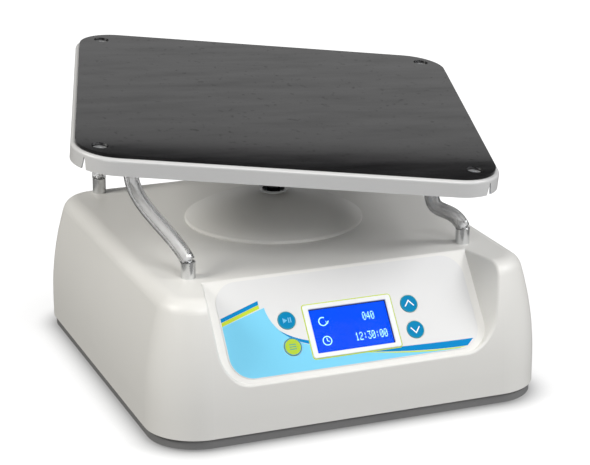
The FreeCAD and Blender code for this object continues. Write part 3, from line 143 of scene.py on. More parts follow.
def times_plus(tree, value, times, plus):
    return math_node(tree, "ADD", math_node(tree, "MULTIPLY", value, times), plus)


def swung(tree, level, mask, variation):
    """A level that a mask moves up and down."""
    swing = math_node(tree, "MULTIPLY", math_node(tree, "SUBTRACT", mask, 0.5), variation)
    return math_node(tree, "ADD", level, swing)


def noise(tree, vector, scale, detail=2.0, roughness=0.5):
    made = add(tree, "TexNoise")
    feed(tree, made.inputs["Vector"], vector)
    feed(tree, made.inputs["Scale"], scale)
    made.inputs["Detail"].default_value = detail
    made.inputs["Roughness"].default_value = roughness
    return made.outputs["Fac"]


def stretched(tree, scales):
    """Object coordinates scaled along each axis."""
    place = add(tree, "TexCoord")
    mapping = add(tree, "Mapping")
    feed(tree, mapping.inputs["Vector"], place.outputs["Object"])
    feed(tree, mapping.inputs["Scale"], scales)
    return mapping.outputs["Vector"]


def mix_colour(tree, factor, first, second):
    made = add(tree, "Mix", data_type="RGBA")
    feed(tree, made.inputs["Factor"], factor)
    feed(tree, made.inputs["A"], first)
    feed(tree, made.inputs["B"], second)
    return made.outputs["Result"]


def bump(tree, shader, height, strength, depth):
    """Bump with its depth in millimetres."""
    made = add(tree, "Bump")
    made.inputs["Strength"].default_value = strength
    made.inputs["Distance"].default_value = depth * MM
    feed(tree, made.inputs["Height"], height)
    feed(tree, shader.inputs["Normal"], made.outputs["Normal"])


def seen_plainly(tree, path):
    """One for what the camera sees, directly or through clear plastic."""
    return math_node(tree, "MAXIMUM", path.outputs["Is Camera Ray"], path.outputs["Is Transmission Ray"])


# Shared surface effects

EVEN = (1, 1, 1)


def new_group(name, inputs, outputs):
    """Empty node group with its sockets. Returns the tree, its inputs and its outputs."""
    tree = bpy.data.node_groups.new(name, "ShaderNodeTree")
    for label, kind, default in inputs:
        socket = tree.interface.new_socket(label, in_out="INPUT", socket_type="NodeSocket" + kind)
        socket.default_value = default
    for label, kind in outputs:
        tree.interface.new_socket(label, in_out="OUTPUT", socket_type="NodeSocket" + kind)
    return tree, tree.nodes.new("NodeGroupInput").outputs, tree.nodes.new("NodeGroupOutput").inputs


def grain_group():
    """Fine moulded or coated grain: a height for bump and a slow change of tone."""
    tree, given, wanted = new_group(
        "surface_grain",
        [("Grain Scale", "Float", 900.0), ("Tone Scale", "Float", 9.0),
         ("Colour", "Color", (0.6, 0.6, 0.6, 1)), ("Shade", "Color", (0.5, 0.5, 0.5, 1)),
         ("Roughness", "Float", 0.5), ("Variation", "Float", 0.08)],
        [("Height", "Float"), ("Colour", "Color"), ("Roughness", "Float")])
    vector = stretched(tree, EVEN)
    feed(tree, wanted["Height"], noise(tree, vector, given["Grain Scale"], detail=3.0, roughness=0.6))
    tone = noise(tree, vector, given["Tone Scale"], detail=4.0)
    feed(tree, wanted["Colour"], mix_colour(tree, tone, given["Colour"], given["Shade"]))
    feed(tree, wanted["Roughness"], swung(tree, given["Roughness"], tone, given["Variation"]))
    return tree


def tool_line_group():
    """Lines left by a tool along one direction: height, and roughness that follows them."""
    tree, given, wanted = new_group(
        "tool_lines",
        [("Lines", "Vector", EVEN), ("Roughness", "Float", 0.3), ("Variation", "Float", 0.2)],
        [("Height", "Float"), ("Roughness", "Float")])
    place = add(tree, "TexCoord")
    scaled = add(tree, "VectorMath", operation="MULTIPLY")
    feed(tree, scaled.inputs[0], place.outputs["Object"])
    feed(tree, scaled.inputs[1], given["Lines"])
    lines = noise(tree, scaled.outputs["Vector"], 1.0, detail=3.0, roughness=0.7)
    feed(tree, wanted["Height"], lines)
    feed(tree, wanted["Roughness"], swung(tree, given["Roughness"], lines, given["Variation"]))
    return tree


GRAIN = grain_group()
TOOL_LINES = tool_line_group()


def start_material(name, **sockets):
    """Material with a Principled shader. Each socket is named with _ for a space."""
    made = bpy.data.materials.new(name)
    made.use_nodes = True
    shader = made.node_tree.nodes["Principled BSDF"]
    for label, value in sockets.items():
        shader.inputs[label.replace("_", " ")].default_value = value
    return made, made.node_tree, shader


def use_group(tree, group, **values):
    made = add(tree, "Group", node_tree=group)
    for label, value in values.items():
        feed(tree, made.inputs[label.replace("_", " ")], value)
    return made.outputs


def grained(name, colour, shade, roughness, grain=900.0, tone=9.0, depth=0.04, strength=0.25, **sockets):
    """Plastic, rubber, film or paint with a fine grain."""
    made, tree, shader = start_material(name, **sockets)
    out = use_group(tree, GRAIN, Grain_Scale=grain, Tone_Scale=tone, Colour=colour, Shade=shade,
                    Roughness=roughness, Variation=0.08)
    feed(tree, shader.inputs["Base Color"], out["Colour"])
    feed(tree, shader.inputs["Roughness"], out["Roughness"])
    bump(tree, shader, out["Height"], strength, depth)
    return made


def worked_metal(name, colour, roughness, lines, variation=0.15):
    """Bare metal with tool lines."""
    made, tree, shader = start_material(name, Metallic=1.0, Base_Color=colour)
    out = use_group(tree, TOOL_LINES, Lines=lines, Roughness=roughness, Variation=variation)
    feed(tree, shader.inputs["Roughness"], out["Roughness"])
    bump(tree, shader, out["Height"], strength=0.2, depth=0.02)
    return made


# Plastics, rubber and paint

# Specular level of the film, and of inks, keys and the lit display
FILM_SHINE = 0.2
INK_SHINE = 0.05


def housing_plastic():
    return grained("housing_plastic", srgb(228, 227, 224), srgb(223, 222, 218), roughness=0.4, grain=1400.0,
                   tone=6.0, strength=0.12)


def plinth_plastic():
    return grained("plinth_plastic", srgb(126, 126, 126), srgb(114, 114, 115), roughness=0.55, grain=800.0)


def foot_rubber():
    return grained("foot_rubber", srgb(38, 38, 39), srgb(28, 28, 29), roughness=0.8, grain=700.0,
                   strength=0.4)


def tray_paint():
    return grained("tray_paint", srgb(205, 205, 205), srgb(200, 200, 200), roughness=0.32, grain=600.0,
                   tone=14.0, depth=0.05, strength=0.15)


def mat_rubber():
    """Smooth rubber sheet: dark, with faint rolled streaks and a few specks."""
    rolled = (12, 60, 20)
    speck_scale = 150.0
    speck_edge = 0.66
    speck_dullness = 0.6
    made, tree, shader = start_material("mat_rubber")
    streaks = noise(tree, stretched(tree, rolled), 1.0, detail=4.0, roughness=0.6)
    specks = noise(tree, stretched(tree, EVEN), speck_scale, detail=2.0, roughness=0.7)
    tone = mix_colour(tree, streaks, srgb(7, 7, 8), srgb(24, 23, 25))
    dark = math_node(tree, "GREATER_THAN", specks, speck_edge)
    feed(tree, shader.inputs["Base Color"], mix_colour(tree, dark, tone, srgb(8, 8, 8)))
    shine = times_plus(tree, streaks, 0.9, 0.05)
    clear = math_node(tree, "SUBTRACT", 1.0, math_node(tree, "MULTIPLY", dark, speck_dullness))
    feed(tree, shader.inputs["Specular IOR Level"], math_node(tree, "MULTIPLY", shine, clear))
    feed(tree, shader.inputs["Roughness"], times_plus(tree, streaks, 0.06, 0.03))
    bump(tree, shader, specks, strength=0.06, depth=0.03)
    return made


def clear_tube():
    """Clear thick tubing: pale and hazy in the middle, with painted shade that darkens it where it is seen
    edge on.
    """
    painted_edge_shade_power = 0.9
    made, tree, shader = start_material("clear_tube", Transmission_Weight=0.72, IOR=1.36)
    rim = add(tree, "LayerWeight")
    # Painted shade: colour goes from near white facing the camera to dark grey edge on
    edge = math_node(tree, "POWER", rim.outputs["Facing"], painted_edge_shade_power)
    feed(tree, shader.inputs["Base Color"], mix_colour(tree, edge, srgb(250, 250, 250), srgb(24, 25, 26)))
    haze = noise(tree, stretched(tree, (1, 1, 0.2)), 300.0, detail=3.0)
    feed(tree, shader.inputs["Roughness"], times_plus(tree, haze, 0.08, 0.01))
    return made


def window_clear():
    """Clear display window, with faint marks of wiping."""
    made, tree, shader = start_material("window_clear", Base_Color=srgb(245, 248, 252),
                                        Transmission_Weight=1.0, IOR=1.3)
    wipes = noise(tree, stretched(tree, (30, 240, 240)), 1.0, detail=2.0)
    feed(tree, shader.inputs["Roughness"], math_node(tree, "MULTIPLY", wipes, 0.05))
    return made


def overlay_film():
    return grained("overlay_film", srgb(221, 221, 221), srgb(218, 218, 218), roughness=0.4, grain=1800.0,
                   tone=8.0, strength=0.1, Specular_IOR_Level=FILM_SHINE)


def print_ink(name, colour, shade):
    return grained(name, colour, shade, roughness=0.4, grain=1800.0, tone=30.0, strength=0.1,
                   Specular_IOR_Level=INK_SHINE)


def bezel_white():
    return grained("gloss_white", srgb(238, 240, 240), srgb(233, 235, 236), roughness=0.22, grain=500.0,
                   strength=0.04, Coat_Weight=0.3)


def lcd_blue():
    """Lit blue display face, lit a little unevenly."""
    made, tree, shader = start_material("lcd_blue", Base_Color=srgb(0, 12, 80), Roughness=0.4,
                                        Specular_IOR_Level=INK_SHINE, Emission_Strength=1.0)
    glow = noise(tree, stretched(tree, (18, 18, 18)), 1.0, detail=1.0)
    feed(tree, shader.inputs["Emission Color"], mix_colour(tree, glow, srgb(0, 70, 246), srgb(6, 92, 252)))
    return made


def lcd_character():
    """Pale lit dots of the display."""
    made, tree, shader = start_material("lcd_character", Base_Color=srgb(120, 190, 230), Roughness=0.4,
                                        Emission_Strength=0.95)
    glow = noise(tree, stretched(tree, EVEN), 900.0, detail=1.0)
    dots_colour = mix_colour(tree, glow, srgb(150, 215, 245), srgb(190, 235, 250))
    feed(tree, shader.inputs["Emission Color"], dots_colour)
    return made


def key_blue():
    return grained("key_blue", srgb(4, 131, 181), srgb(2, 124, 173), roughness=0.36, strength=0.08,
                   Specular_IOR_Level=INK_SHINE)


def key_green():
    return grained("key_green", srgb(178, 204, 64), srgb(170, 196, 56), roughness=0.36, strength=0.08,
                   Specular_IOR_Level=INK_SHINE)


def key_mark(name, colour):
    return grained(name, colour, colour, roughness=0.4, strength=0.05, Specular_IOR_Level=FILM_SHINE)


def black_plastic():
    return grained("black_plastic", srgb(34, 34, 36), srgb(26, 26, 28), roughness=0.4, grain=700.0)


def circuit_board():
    return grained("circuit_board", srgb(24, 92, 52), srgb(18, 76, 42), roughness=0.4, grain=300.0,
                   tone=60.0)


def motor_paint():
    return grained("motor_paint", srgb(44, 45, 48), srgb(36, 37, 40), roughness=0.45, grain=500.0)


# Metals

def zinc_steel():
    return worked_metal("zinc_steel", srgb(222, 223, 225), roughness=0.55, lines=(260, 260, 40))


def ground_steel():
    return worked_metal("ground_steel", srgb(186, 188, 192), roughness=0.22, lines=(60, 60, 2400))


def black_steel():
    return worked_metal("black_steel", srgb(34, 34, 36), roughness=0.3, lines=(60, 60, 1600))


def post_metal():
    return worked_metal("post_metal", srgb(222, 223, 224), roughness=0.24, lines=(900, 900, 30),
                        variation=0.1)


def alloy():
    return worked_metal("alloy", srgb(202, 204, 207), roughness=0.36, lines=(300, 300, 300))


def brass():
    return worked_metal("brass", srgb(204, 172, 96), roughness=0.3, lines=(60, 60, 1800))


MATERIALS = {
    "shell_plastic": housing_plastic(),
    "plinth_plastic": plinth_plastic(),
    "black_rubber": foot_rubber(),
    "mat_rubber": mat_rubber(),
    "tray_paint": tray_paint(),
    "zinc_steel": zinc_steel(),
    "ground_steel": ground_steel(),
    "black_steel": black_steel(),
    "post_metal": post_metal(),
    "alloy": alloy(),
    "motor_paint": motor_paint(),
    "clear_tube": clear_tube(),
    "overlay_film": overlay_film(),
    "bezel_plastic": bezel_white(),
    "window_clear": window_clear(),
    "lcd_blue": lcd_blue(),
    "key_blue": key_blue(),
    "key_green": key_green(),
    "circuit_green": circuit_board(),
    "black_plastic": black_plastic(),
    "brass": brass(),
}
LIGHT_BLUE = print_ink("ink_light_blue", srgb(126, 207, 238), srgb(121, 202, 233))
DEEP_BLUE = print_ink("ink_blue", srgb(4, 134, 198), srgb(2, 127, 190))
LIME = print_ink("ink_lime", srgb(196, 216, 64), srgb(188, 208, 56))
WHITE_MARK = key_mark("mark_white", srgb(240, 244, 246))
PALE_MARK = key_mark("mark_pale_blue", srgb(110, 186, 224))
TEAL_MARK = key_mark("mark_teal", srgb(70, 160, 150))
# Dark blue ink that paints the bezel's shade round the lit display face
BEZEL_SHADE_INK = key_mark("display_painted_bezel_shade", srgb(8, 24, 84))
CHARACTER = lcd_character()


def dress_nodes():
    """Give every CAD piece the material of its slot."""
    for part in frame["record"]["subparts"]:
        item = frame["nodes"][part["node"]]
        item.data.materials.clear()
        item.data.materials.append(MATERIALS[part["material_slot"]])


# Outlines, in millimetres

def arc(x, y, radius, start, end, count=12):
    """Points along an arc, with angles in degrees."""
    angles = [math.radians(start + (end - start) * step / count) for step in range(count + 1)]
    return [(x + radius * math.cos(a), y + radius * math.sin(a)) for a in angles]


def circle(x, y, radius, sides):
    return arc(x, y, radius, 0, 360 - 360 / sides, sides - 1)


def rounded_box(half_x, half_y, radius, y=0.0):
    corners = []
    for side, end, start in ((1, 1, 0), (-1, 1, 90), (-1, -1, 180), (1, -1, 270)):
        corners += arc(side * (half_x - radius), y + end * (half_y - radius), radius, start, start + 90, 6)
    return corners


def bezier(points, count=24):
    """Points along a cubic curve given by its four control points."""
    controls = [Vector(point) for point in points]
    found = []
    for step in range(count + 1):
        t = step / count
        shares = ((1 - t) ** 3, 3 * t * (1 - t) ** 2, 3 * t * t * (1 - t), t ** 3)
        found.append(sum((share * control for share, control in zip(shares, controls)), controls[0] * 0))
    return found


def square_to(along):
    return Vector((-along.y, along.x))


def stroke(points, width):
    """Outline of a line of the given width, with mitred corners."""
    sharpest = 0.3
    line = [Vector(point) for point in points]
    left, right = [], []
    for number, here in enumerate(line):
        before = (here - line[number - 1]).normalized() if number else None
        after = (line[number + 1] - here).normalized() if number + 1 < len(line) else None
        along = (before + after).normalized() if before and after else before or after
        across = square_to(along)
        reach = width / 2 / max(sharpest, across.dot(square_to(before or after)))
        left.append(tuple(here + across * reach))
        right.append(tuple(here - across * reach))
    return left + right[::-1]


# Pieces

PRINT_THICK = 0.06


def add_piece(name, mesh, material, body):
    mesh.materials.clear()
    mesh.materials.append(material)
    piece = bpy.data.objects.new(name, mesh)
    bpy.context.scene.collection.objects.link(piece)
    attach(piece, body)
    return piece


def flat_piece(name, outlines, level, thick, material, body=BASE, place=PANEL):
    """Thin closed plate from outlines in millimetres. An outline inside another is a hole in it."""
    curve = bpy.data.curves.new(name, "CURVE")
    curve.dimensions = "2D"
    curve.fill_mode = "BOTH"
    curve.extrude = thick / 2 * MM
    for outline in outlines:
        spline = curve.splines.new("POLY")
        spline.points.add(len(outline) - 1)
        for point, (x, y) in zip(spline.points, outline):
            point.co = (x * MM, y * MM, 0, 1)
        spline.use_cyclic_u = True
    rough = bpy.data.objects.new(name + "_curve", curve)
    mesh = bpy.data.meshes.new_from_object(rough)
    bpy.data.objects.remove(rough)
    mesh.transform(place @ shift(0, 0, level + thick / 2))
    return add_piece(name, mesh, material, body)


# Panel print, in millimetres across the panel and down its slope

FIELD_TOP = 40.4
FIELD_TIP = (-72.6, 28.6)
STRIPE_TOP = ((OVERLAY_LEFT, 33.3), (-76.8, 22.0))
STRIPE_BANDS = {"print_stripe_blue": (0.0, 3.5, DEEP_BLUE), "print_stripe_lime": (3.7, 6.9, LIME)}
INK_LEFT = -38.0
INK_RIGHT = 9.0
UNDER_DISPLAY = DISPLAY_DOWN + BEZEL_HALF[1] - 1.0
WISP_TIP = (-65.2, 48.8)
LIME_END = 92.0
LIME_EDGE = ((INK_RIGHT, 79.4), (36.0, 84.0), (62.0, 87.2), (LIME_END, 87.0))


def printed(name, outlines, ink, level=OVERLAY_LEVEL):
    uphill = [[(x, -drop) for x, drop in outline] for outline in outlines]
    flat_piece(name, uphill, level, PRINT_THICK, ink)


def field_print():
    """Light blue field along the foot of the panel, with a hole for the lower left key."""
    edge = bezier([FIELD_TIP, (-71.5, 46.0), (-56.0, 62.0), (INK_LEFT, 66.0)])
    edge += [(INK_LEFT, UNDER_DISPLAY), (INK_RIGHT, UNDER_DISPLAY)] + bezier(LIME_EDGE)
    edge += [(LIME_END, OVERLAY_BOTTOM)]
    edge += arc(OVERLAY_LEFT + OVERLAY_CORNER, OVERLAY_BOTTOM - OVERLAY_CORNER, OVERLAY_CORNER, 90, 180)
    edge += [(OVERLAY_LEFT, FIELD_TOP)]
    keyhole = circle(-KEY_SIDE, KEY_LOWER, KEY_RADIUS + KEY_GAP, sides=24)
    printed("print_field", [edge, keyhole], LIGHT_BLUE)


def stripe_print():
    """Blue and lime stripes over the field."""
    (x0, t0), (x1, t1) = STRIPE_TOP
    for name, (near, far, ink) in STRIPE_BANDS.items():
        printed(name, [[(x0, t0 + near), (x1, t1 + near), (x1, t1 + far), (x0, t0 + far)]], ink)


def wisp_print():
    """Thin blue wisp that runs under the display from its left."""
    upper = bezier([WISP_TIP, (-57.0, 56.0), (-48.0, 60.0), (INK_LEFT, 62.5)])
    lower = bezier([(INK_LEFT, 65.6), (-48.0, 63.2), (-58.0, 57.5), WISP_TIP])
    printed("print_wisp", [upper + lower[:-1]], DEEP_BLUE)


def band_print():
    """Blue band to the right of the display, with a lime line under it."""
    upper = bezier([(INK_RIGHT, 78.6), (30.0, 77.4), (64.0, 79.8), (106.0, 80.0)])
    lower = bezier([(99.2, 85.8), (66.0, 86.0), (36.0, 82.6), (INK_RIGHT, 78.8)])
    printed("print_band", [upper + lower], DEEP_BLUE)
    line = bezier([(98.0, 86.1), (66.0, 86.3), (36.0, 82.9), (INK_RIGHT, 79.0)])
    printed("print_line_lime", [line + bezier(LIME_EDGE)], LIME)


def display_line_print():
    """Lime line round the display's bezel."""
    wide = 0.9
    tucked = 0.2
    ring = rounded_box(BEZEL_HALF[0] + wide, BEZEL_HALF[1] + wide, BEZEL_CORNER + wide, y=DISPLAY_DOWN)
    inner = rounded_box(BEZEL_HALF[0] - tucked, BEZEL_HALF[1] - tucked, BEZEL_CORNER, y=DISPLAY_DOWN)
    printed("print_display_line", [ring, inner], LIME, level=OVERLAY_LEVEL + PRINT_THICK)


def panel_print():
    """Plain bands of colour on the panel film."""
    field_print()
    stripe_print()
    wisp_print()
    band_print()
    display_line_print()


# Key signs

RING_OUTER = 0.1
RING_INNER = 0.5
LIST_RING_INNER = 0.8
KEYS = {
    "up_button": (KEY_SIDE, KEY_UPPER),
    "down_button": (KEY_SIDE, KEY_LOWER),
    "left_top_button": (-KEY_SIDE, KEY_UPPER),
    "left_bottom_button": (-KEY_SIDE, KEY_LOWER),
}


def key_piece(name, outlines, ink, body):
    side, drop = KEYS[body]
    flat_piece(name, outlines, 0, PRINT_THICK, ink, body, PANEL @ shift(side, -drop, KEY_FACE))


def key_ring(name, ink, body, inner=RING_INNER):
    """Thin ring round the edge of a key. Its inner rim is that far from the key's edge."""
    rims = [circle(0, 0, KEY_RADIUS - inset, sides=60) for inset in (RING_OUTER, inner)]
    key_piece(name, rims, ink, body)


def key_signs():
    """Chevrons on the two right keys, and generic signs on the two left ones."""
    chevron = stroke([(-4.0, -2.1), (0.0, 2.9), (4.0, -2.1)], width=1.0)
    key_piece("chevron_up", [chevron], WHITE_MARK, "up_button")
    key_piece("chevron_down", [[(x, -y) for x, y in chevron]], WHITE_MARK, "down_button")
    triangle = [(-3.4, -2.3), (0.4, 0.0), (-3.4, 2.3)]
    bars = [stroke([(x, -2.2), (x, 2.2)], width=0.9) for x in (1.6, 3.4)]
    key_piece("run_stop_sign", [triangle] + bars, PALE_MARK, "left_top_button")
    rows = [stroke([(-3.0, y), (3.0, y)], width=0.8) for y in (-2.0, 0.0, 2.0)]
    key_piece("list_sign", rows, TEAL_MARK, "left_bottom_button")


def key_rings():
    key_ring("up_ring", TEAL_MARK, "up_button")
    key_ring("down_ring", TEAL_MARK, "down_button")
    key_ring("run_stop_ring", TEAL_MARK, "left_top_button")
    key_ring("list_ring", DEEP_BLUE, "left_bottom_button", LIST_RING_INNER)


# Display

DIGITS = {
    "0": ("01110", "10001", "10011", "10101", "11001", "10001", "01110"),
    "1": ("00100", "01100", "00100", "00100", "00100", "00100", "01110"),
    "2": ("01110", "10001", "00001", "00110", "01000", "10000", "11111"),
    "3": ("11111", "00010", "00100", "00010", "00001", "10001", "01110"),
    "4": ("00010", "00110", "01010", "10010", "11111", "00010", "00010"),
    ":": ("00000", "00100", "00100", "00000", "00100", "00100", "00000"),
}
CHARACTER_COLUMNS = 6
DOT_PITCH_ACROSS = 0.62
DOT_PITCH_DOWN = 1.02
DOT_WIDE = DOT_PITCH_ACROSS * 0.9
DOT_TALL = DOT_PITCH_DOWN * 0.92
LIT_LEVEL = 0.01
LIT_THICK = 0.03
# Ring of painted bezel shade round the lit face: its corner, and how far out and in it reaches
BEZEL_SHADE_CORNER = 0.5
BEZEL_SHADE_OUT = 0.5
BEZEL_SHADE_IN = -0.6
SIGNS_ACROSS = -24.0
UPPER_SIGN = 8.0
LOWER_SIGN = -9.0

# Left and top of each line of characters, from the middle of the display
NUMBERS = {"040": (12.0, 11.5), "12:30:00": (1.5, -5.5)}


def dots(text, left, top):
    """Small squares for a line of characters, left and top in millimetres on the display."""
    squares = []
    for place, character in enumerate(text):
        for row, line in enumerate(DIGITS[character]):
            for column, lit in enumerate(line):
                if lit == "1":
                    x = left + (place * CHARACTER_COLUMNS + column) * DOT_PITCH_ACROSS
                    y = top - row * DOT_PITCH_DOWN
                    right, low = x + DOT_WIDE, y - DOT_TALL
                    squares.append([(x, y), (right, y), (right, low), (x, low)])
    return squares


def turning_sign(x, y):
    """Open ring with an arrow head, for the turning speed."""
    ring = arc(x, y, 4.0, 60, 360, 24) + arc(x, y, 3.1, 360, 60, 24)
    head = [(x + 2.2, y), (x + 5.4, y), (x + 3.8, y - 2.6)]
    return [ring, head]


def clock_sign(x, y):
    """Clock with two hands, for the time."""
    rims = [circle(x, y, radius, sides=36) for radius in (4.2, 3.4)]
    hands = stroke([(x, y + 2.6), (x, y), (x + 1.8, y - 1.0)], width=0.7)
    return rims + [hands]


def on_display(name, outlines, material):
    flat_piece(name, outlines, LIT_LEVEL, LIT_THICK, material, BASE, DISPLAY_FACE)


def display():
    """Painted shade of the bezel in a dark ring round the lit face, and numbers and two plain signs on that
    face behind the window.
    """
    # Painted shade: a dark ring where the bezel's depth shades the lit face
    bezel_shade = [rounded_box(VIEW_HALF[0] + grow, VIEW_HALF[1] + grow, BEZEL_SHADE_CORNER)
              for grow in (BEZEL_SHADE_OUT, BEZEL_SHADE_IN)]
    on_display("display_painted_bezel_shade", bezel_shade, BEZEL_SHADE_INK)
    squares = []
    for text, (left, top) in NUMBERS.items():
        squares += dots(text, left, top)
    on_display("display_numbers", squares, CHARACTER)
    signs = turning_sign(SIGNS_ACROSS, UPPER_SIGN) + clock_sign(SIGNS_ACROSS, LOWER_SIGN)
    on_display("display_signs", signs, CHARACTER)


# Flexible tubes

TUBE_SIDES = 28
TUBE_STEPS = 40

# Side, end, and how each tube's curve leaves the base spigot and arrives at the platform's, in millimetres
TUBES = {
    "tube_front_left": (-1, -1, (-12.6, 13.6, 30.7), (-12.7, 12.9, -42.7)),
    "tube_front_right": (1, -1, (-11, 6, 25), (-10, 0, -48)),
    "tube_back_left": (-1, 1, (0, 0, 38), (-3, 4, -38)),
    "tube_back_right": (1, 1, (0, 0, 40), (-3, 4, -45)),
}


def tube_route(side, end, leave, arrive):
    """Points of a tube's centre line in metres, from the base spigot to the platform spigot."""
    low = Vector((side * SPIGOT_X, end * SPIGOT_Y, SPIGOT_TOP)) * MM
    high = DECK @ (Vector((side * SPIGOT_X, end * SPIGOT_Y, PLATFORM_SPIGOT_END)) * MM)
    return bezier([low, low + Vector(leave) * MM, high + Vector(arrive) * MM, high], TUBE_STEPS)


def rings_along(route):
    """Each point of a route with two directions square to it, without twist."""
    rings = []
    side = Vector((0, 1, 0))
    for number, here in enumerate(route):
        ahead = route[min(number + 1, len(route) - 1)] - route[max(number - 1, 0)]
        ahead.normalize()
        side = (side - ahead * side.dot(ahead)).normalized()
        rings.append((here, side.copy(), ahead.cross(side)))
    return rings


def tube_points(rings):
    """Points of the outer wall, and then those of the bore."""
    points = []
    for radius in (TUBE_RADIUS, TUBE_BORE):
        for here, first, second in rings:
            for step in range(TUBE_SIDES):
                angle = 2 * math.pi * step / TUBE_SIDES
                points.append(here + (first * math.cos(angle) + second * math.sin(angle)) * radius * MM)
    return points


def tube_faces(count):
    """Faces of both walls and of the two end rims, for a tube of that many rings."""
    faces = []
    last = count - 1

    def spot(wall, ring, step):
        return (wall * count + ring) * TUBE_SIDES + step % TUBE_SIDES

    for step in range(TUBE_SIDES):
        after = step + 1
        for ring in range(last):
            faces.append((spot(0, ring, step), spot(0, ring, after), spot(0, ring + 1, after),
                          spot(0, ring + 1, step)))
            faces.append((spot(1, ring, step), spot(1, ring + 1, step), spot(1, ring + 1, after),
                          spot(1, ring, after)))
        faces.append((spot(0, 0, step), spot(1, 0, step), spot(1, 0, after), spot(0, 0, after)))
        faces.append((spot(0, last, step), spot(0, last, after), spot(1, last, after), spot(1, last, step)))
    return faces


def tube_mesh(name, route):
    """Closed thick-walled tube round a route, with rings square to it."""
    faces = tube_faces(len(route))
    mesh = bpy.data.meshes.new(name)
    mesh.from_pydata(tube_points(rings_along(route)), [], faces)
    mesh.polygons.foreach_set("use_smooth", [True] * len(faces))
    return mesh


def flexible_tube(name, node_name, side, end, leave, arrive):
    """Tube that stays on its base spigot and bends as its other end follows the platform."""
    route = tube_route(side, end, leave, arrive)
    mesh = tube_mesh(name, route)
    tube = add_piece(name, mesh, MATERIALS["clear_tube"], BASE)
    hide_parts(node_name)
    group = tube.vertex_groups.new(name="follows_platform")
    count = len(route)
    for vertex in mesh.vertices:
        share = (vertex.index // TUBE_SIDES) % count / (count - 1)
        group.add([vertex.index], share * share * (3 - 2 * share), "REPLACE")
    hook = tube.modifiers.new("platform_end", "HOOK")
    hook.object = frame["bodies"][PLATFORM]
    hook.vertex_group = group.name
    hook.falloff_type = "NONE"


def tubes():
    for name, (side, end, leave, arrive) in TUBES.items():
        flexible_tube(name, "flex_" + name, side, end, leave, arrive)


# Floor and surroundings

WHITE = (1, 1, 1)
FLOOR_SIZE = 14
FLOOR_TONE = (0.2, 0.2, 0.2, 1)
FLOOR_GLOW = 0.8
OPEN_GLOW = 0.2
OPEN_REACH = 160
# Shadow painted into the floor's glow round the plinth: its depth, and its reach in millimetres
PAINTED_SHADOW_DEPTH = 0.5
PAINTED_SHADOW_REACH = 27
SEEN_LEVEL = 0.94
REFLECTED_LEVEL = -0.03
FAINT_LEVEL = 0.06


def ramp(tree, away, reach, start, end):
    """A level that changes from the plinth's outline out to the reach, given in millimetres."""
    made = add(tree, "MapRange")
    levels = {"Value": away, "From Min": 0.0, "From Max": reach * MM, "To Min": start, "To Max": end}
    for label, level in levels.items():
        feed(tree, made.inputs[label], level)
    return made.outputs[0]


def past_plinth(tree):
    """Distance on the floor from the plinth's outline, in metres."""
    place = add(tree, "TexCoord")
    flat = add(tree, "SeparateXYZ")
    feed(tree, flat.inputs[0], place.outputs["Object"])
    squares = []
    for axis, middle, half in zip("XY", PLINTH_MIDDLE, PLINTH_HALF):
        off = math_node(tree, "ABSOLUTE", math_node(tree, "SUBTRACT", flat.outputs[axis], middle * MM))
        past = math_node(tree, "SUBTRACT", off, (half - PLINTH_CORNER) * MM)
        past = math_node(tree, "MAXIMUM", past, 0.0)
        squares.append(math_node(tree, "MULTIPLY", past, past))
    away = math_node(tree, "SQRT", math_node(tree, "ADD", *squares))
    return math_node(tree, "SUBTRACT", away, PLINTH_CORNER * MM)


def floor_glow_with_painted_shadow(tree):
    """How brightly the floor shows: white in the open, lower out to OPEN_REACH, and darker still from a
    shadow painted close round the plinth.
    """
    away = past_plinth(tree)
    near = ramp(tree, away, PAINTED_SHADOW_REACH, 1.0, 0.0)
    # Painted shadow: the glow drops towards the plinth's outline
    shade = math_node(tree, "MULTIPLY", math_node(tree, "MULTIPLY", near, near), PAINTED_SHADOW_DEPTH)
    rise = math_node(tree, "SUBTRACT", FLOOR_GLOW, shade)
    return math_node(tree, "ADD", rise, ramp(tree, away, OPEN_REACH, 0.0, OPEN_GLOW))


def stage():
    """Pale floor that shows white in the open, with a shadow painted into its glow close round the plinth.
    """
    bpy.ops.mesh.primitive_plane_add(size=FLOOR_SIZE)
    floor = bpy.context.object
    floor.name = "floor"
    made, tree, shader = start_material("floor_with_painted_shadow", Base_Color=FLOOR_TONE, Roughness=0.9)
    glow = add(tree, "Emission")
    glow.inputs["Color"].default_value = WHITE + (1,)
    seen = seen_plainly(tree, add(tree, "LightPath"))
    feed(tree, glow.inputs["Strength"], math_node(tree, "MULTIPLY", seen, floor_glow_with_painted_shadow(tree)))
    both = add(tree, "AddShader")
    feed(tree, both.inputs[0], shader.outputs[0])
    feed(tree, both.inputs[1], glow.outputs[0])
    feed(tree, tree.nodes["Material Output"].inputs["Surface"], both.outputs[0])
    floor.data.materials.append(made)


def surroundings():
    """World that is white behind the object, dim in reflections and a faint light on the object."""
    world = bpy.data.worlds.new("surroundings")
    bpy.context.scene.world = world
    world.use_nodes = True
    tree = world.node_tree
    back = tree.nodes["Background"]
    back.inputs["Color"].default_value = WHITE + (1,)
    path = add(tree, "LightPath")
    seen = math_node(tree, "MULTIPLY", seen_plainly(tree, path), SEEN_LEVEL)
    shine = math_node(tree, "MULTIPLY", path.outputs["Is Glossy Ray"], REFLECTED_LEVEL)
    light = math_node(tree, "ADD", seen, shine)
    feed(tree, back.inputs["Strength"], math_node(tree, "ADD", light, FAINT_LEVEL))


# Lamps and camera, in metres

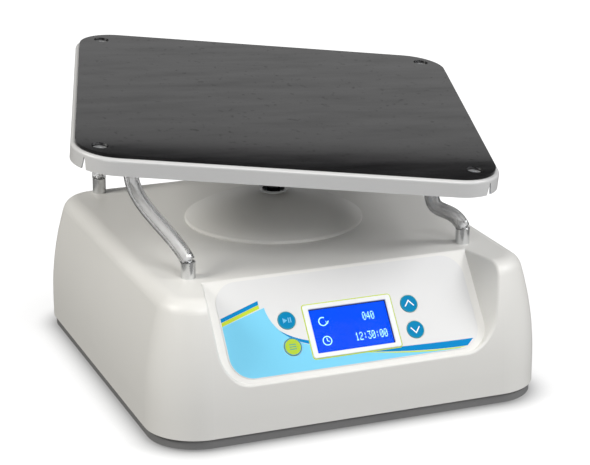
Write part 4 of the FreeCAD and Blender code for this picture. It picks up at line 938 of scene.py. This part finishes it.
WARM = (1, 0.98, 0.93)
BOX_SIZE = (1.1, 0.9)
BOX_AIM = (0, 0, 0.12)

# Place, power and colour of each soft box
SOFT_BOXES = {
    "left_box": ((-1.97, 0.0, 1.66), 41, WARM),
    "front_box": ((0.1, -1.97, 1.66), 31, WHITE),
    "right_box": ((1.71, -0.99, 1.66), 27, WHITE),
    "low_right_box": ((1.22, -2.12, 0.64), 6, WHITE),
    "low_left_box": ((-2.12, -1.22, 0.64), 4, WHITE),
}
CARD_PLACE = (0.6, 3.0, 0.88)
CARD_AIM = (0.6, 0, 0.88)
CARD_SIZE = (6.0, 1.42)
CARD_POWER = 13

CAMERA_PLACE = (-0.61918, -1.62416, 0.67384)
CAMERA_AHEAD = (0.348808, 0.884922, -0.308618)
CAMERA_LENS = 121.81
CAMERA_SENSOR = 36


def facing(ahead):
    """Turn of a lamp or camera that looks in that direction."""
    return ahead.to_track_quat("-Z", "Y").to_euler()


def lamp(name, place, aim, size, power, colour):
    """Soft box or card that the camera doesn't see."""
    data = bpy.data.lights.new(name, "AREA")
    data.shape = "RECTANGLE"
    data.size, data.size_y = size
    data.energy = power
    data.color = colour
    made = bpy.data.objects.new(name, data)
    made.location = place
    made.rotation_euler = facing(Vector(aim) - Vector(place))
    made.visible_camera = False
    bpy.context.scene.collection.objects.link(made)


def lights():
    for name, (place, power, colour) in SOFT_BOXES.items():
        lamp(name, place, BOX_AIM, BOX_SIZE, power, colour)
    lamp("back_card", CARD_PLACE, CARD_AIM, CARD_SIZE, CARD_POWER, WHITE)


def camera():
    data = bpy.data.cameras.new("camera")
    data.sensor_width = CAMERA_SENSOR
    data.lens = CAMERA_LENS
    made = bpy.data.objects.new("camera", data)
    made.location = CAMERA_PLACE
    made.rotation_euler = facing(Vector(CAMERA_AHEAD))
    bpy.context.scene.collection.objects.link(made)
    bpy.context.scene.camera = made


dress_nodes()
panel_print()
key_signs()
key_rings()
display()
tubes()
stage()
surroundings()
lights()
camera()
bpy.context.scene.view_settings.view_transform = "Standard"
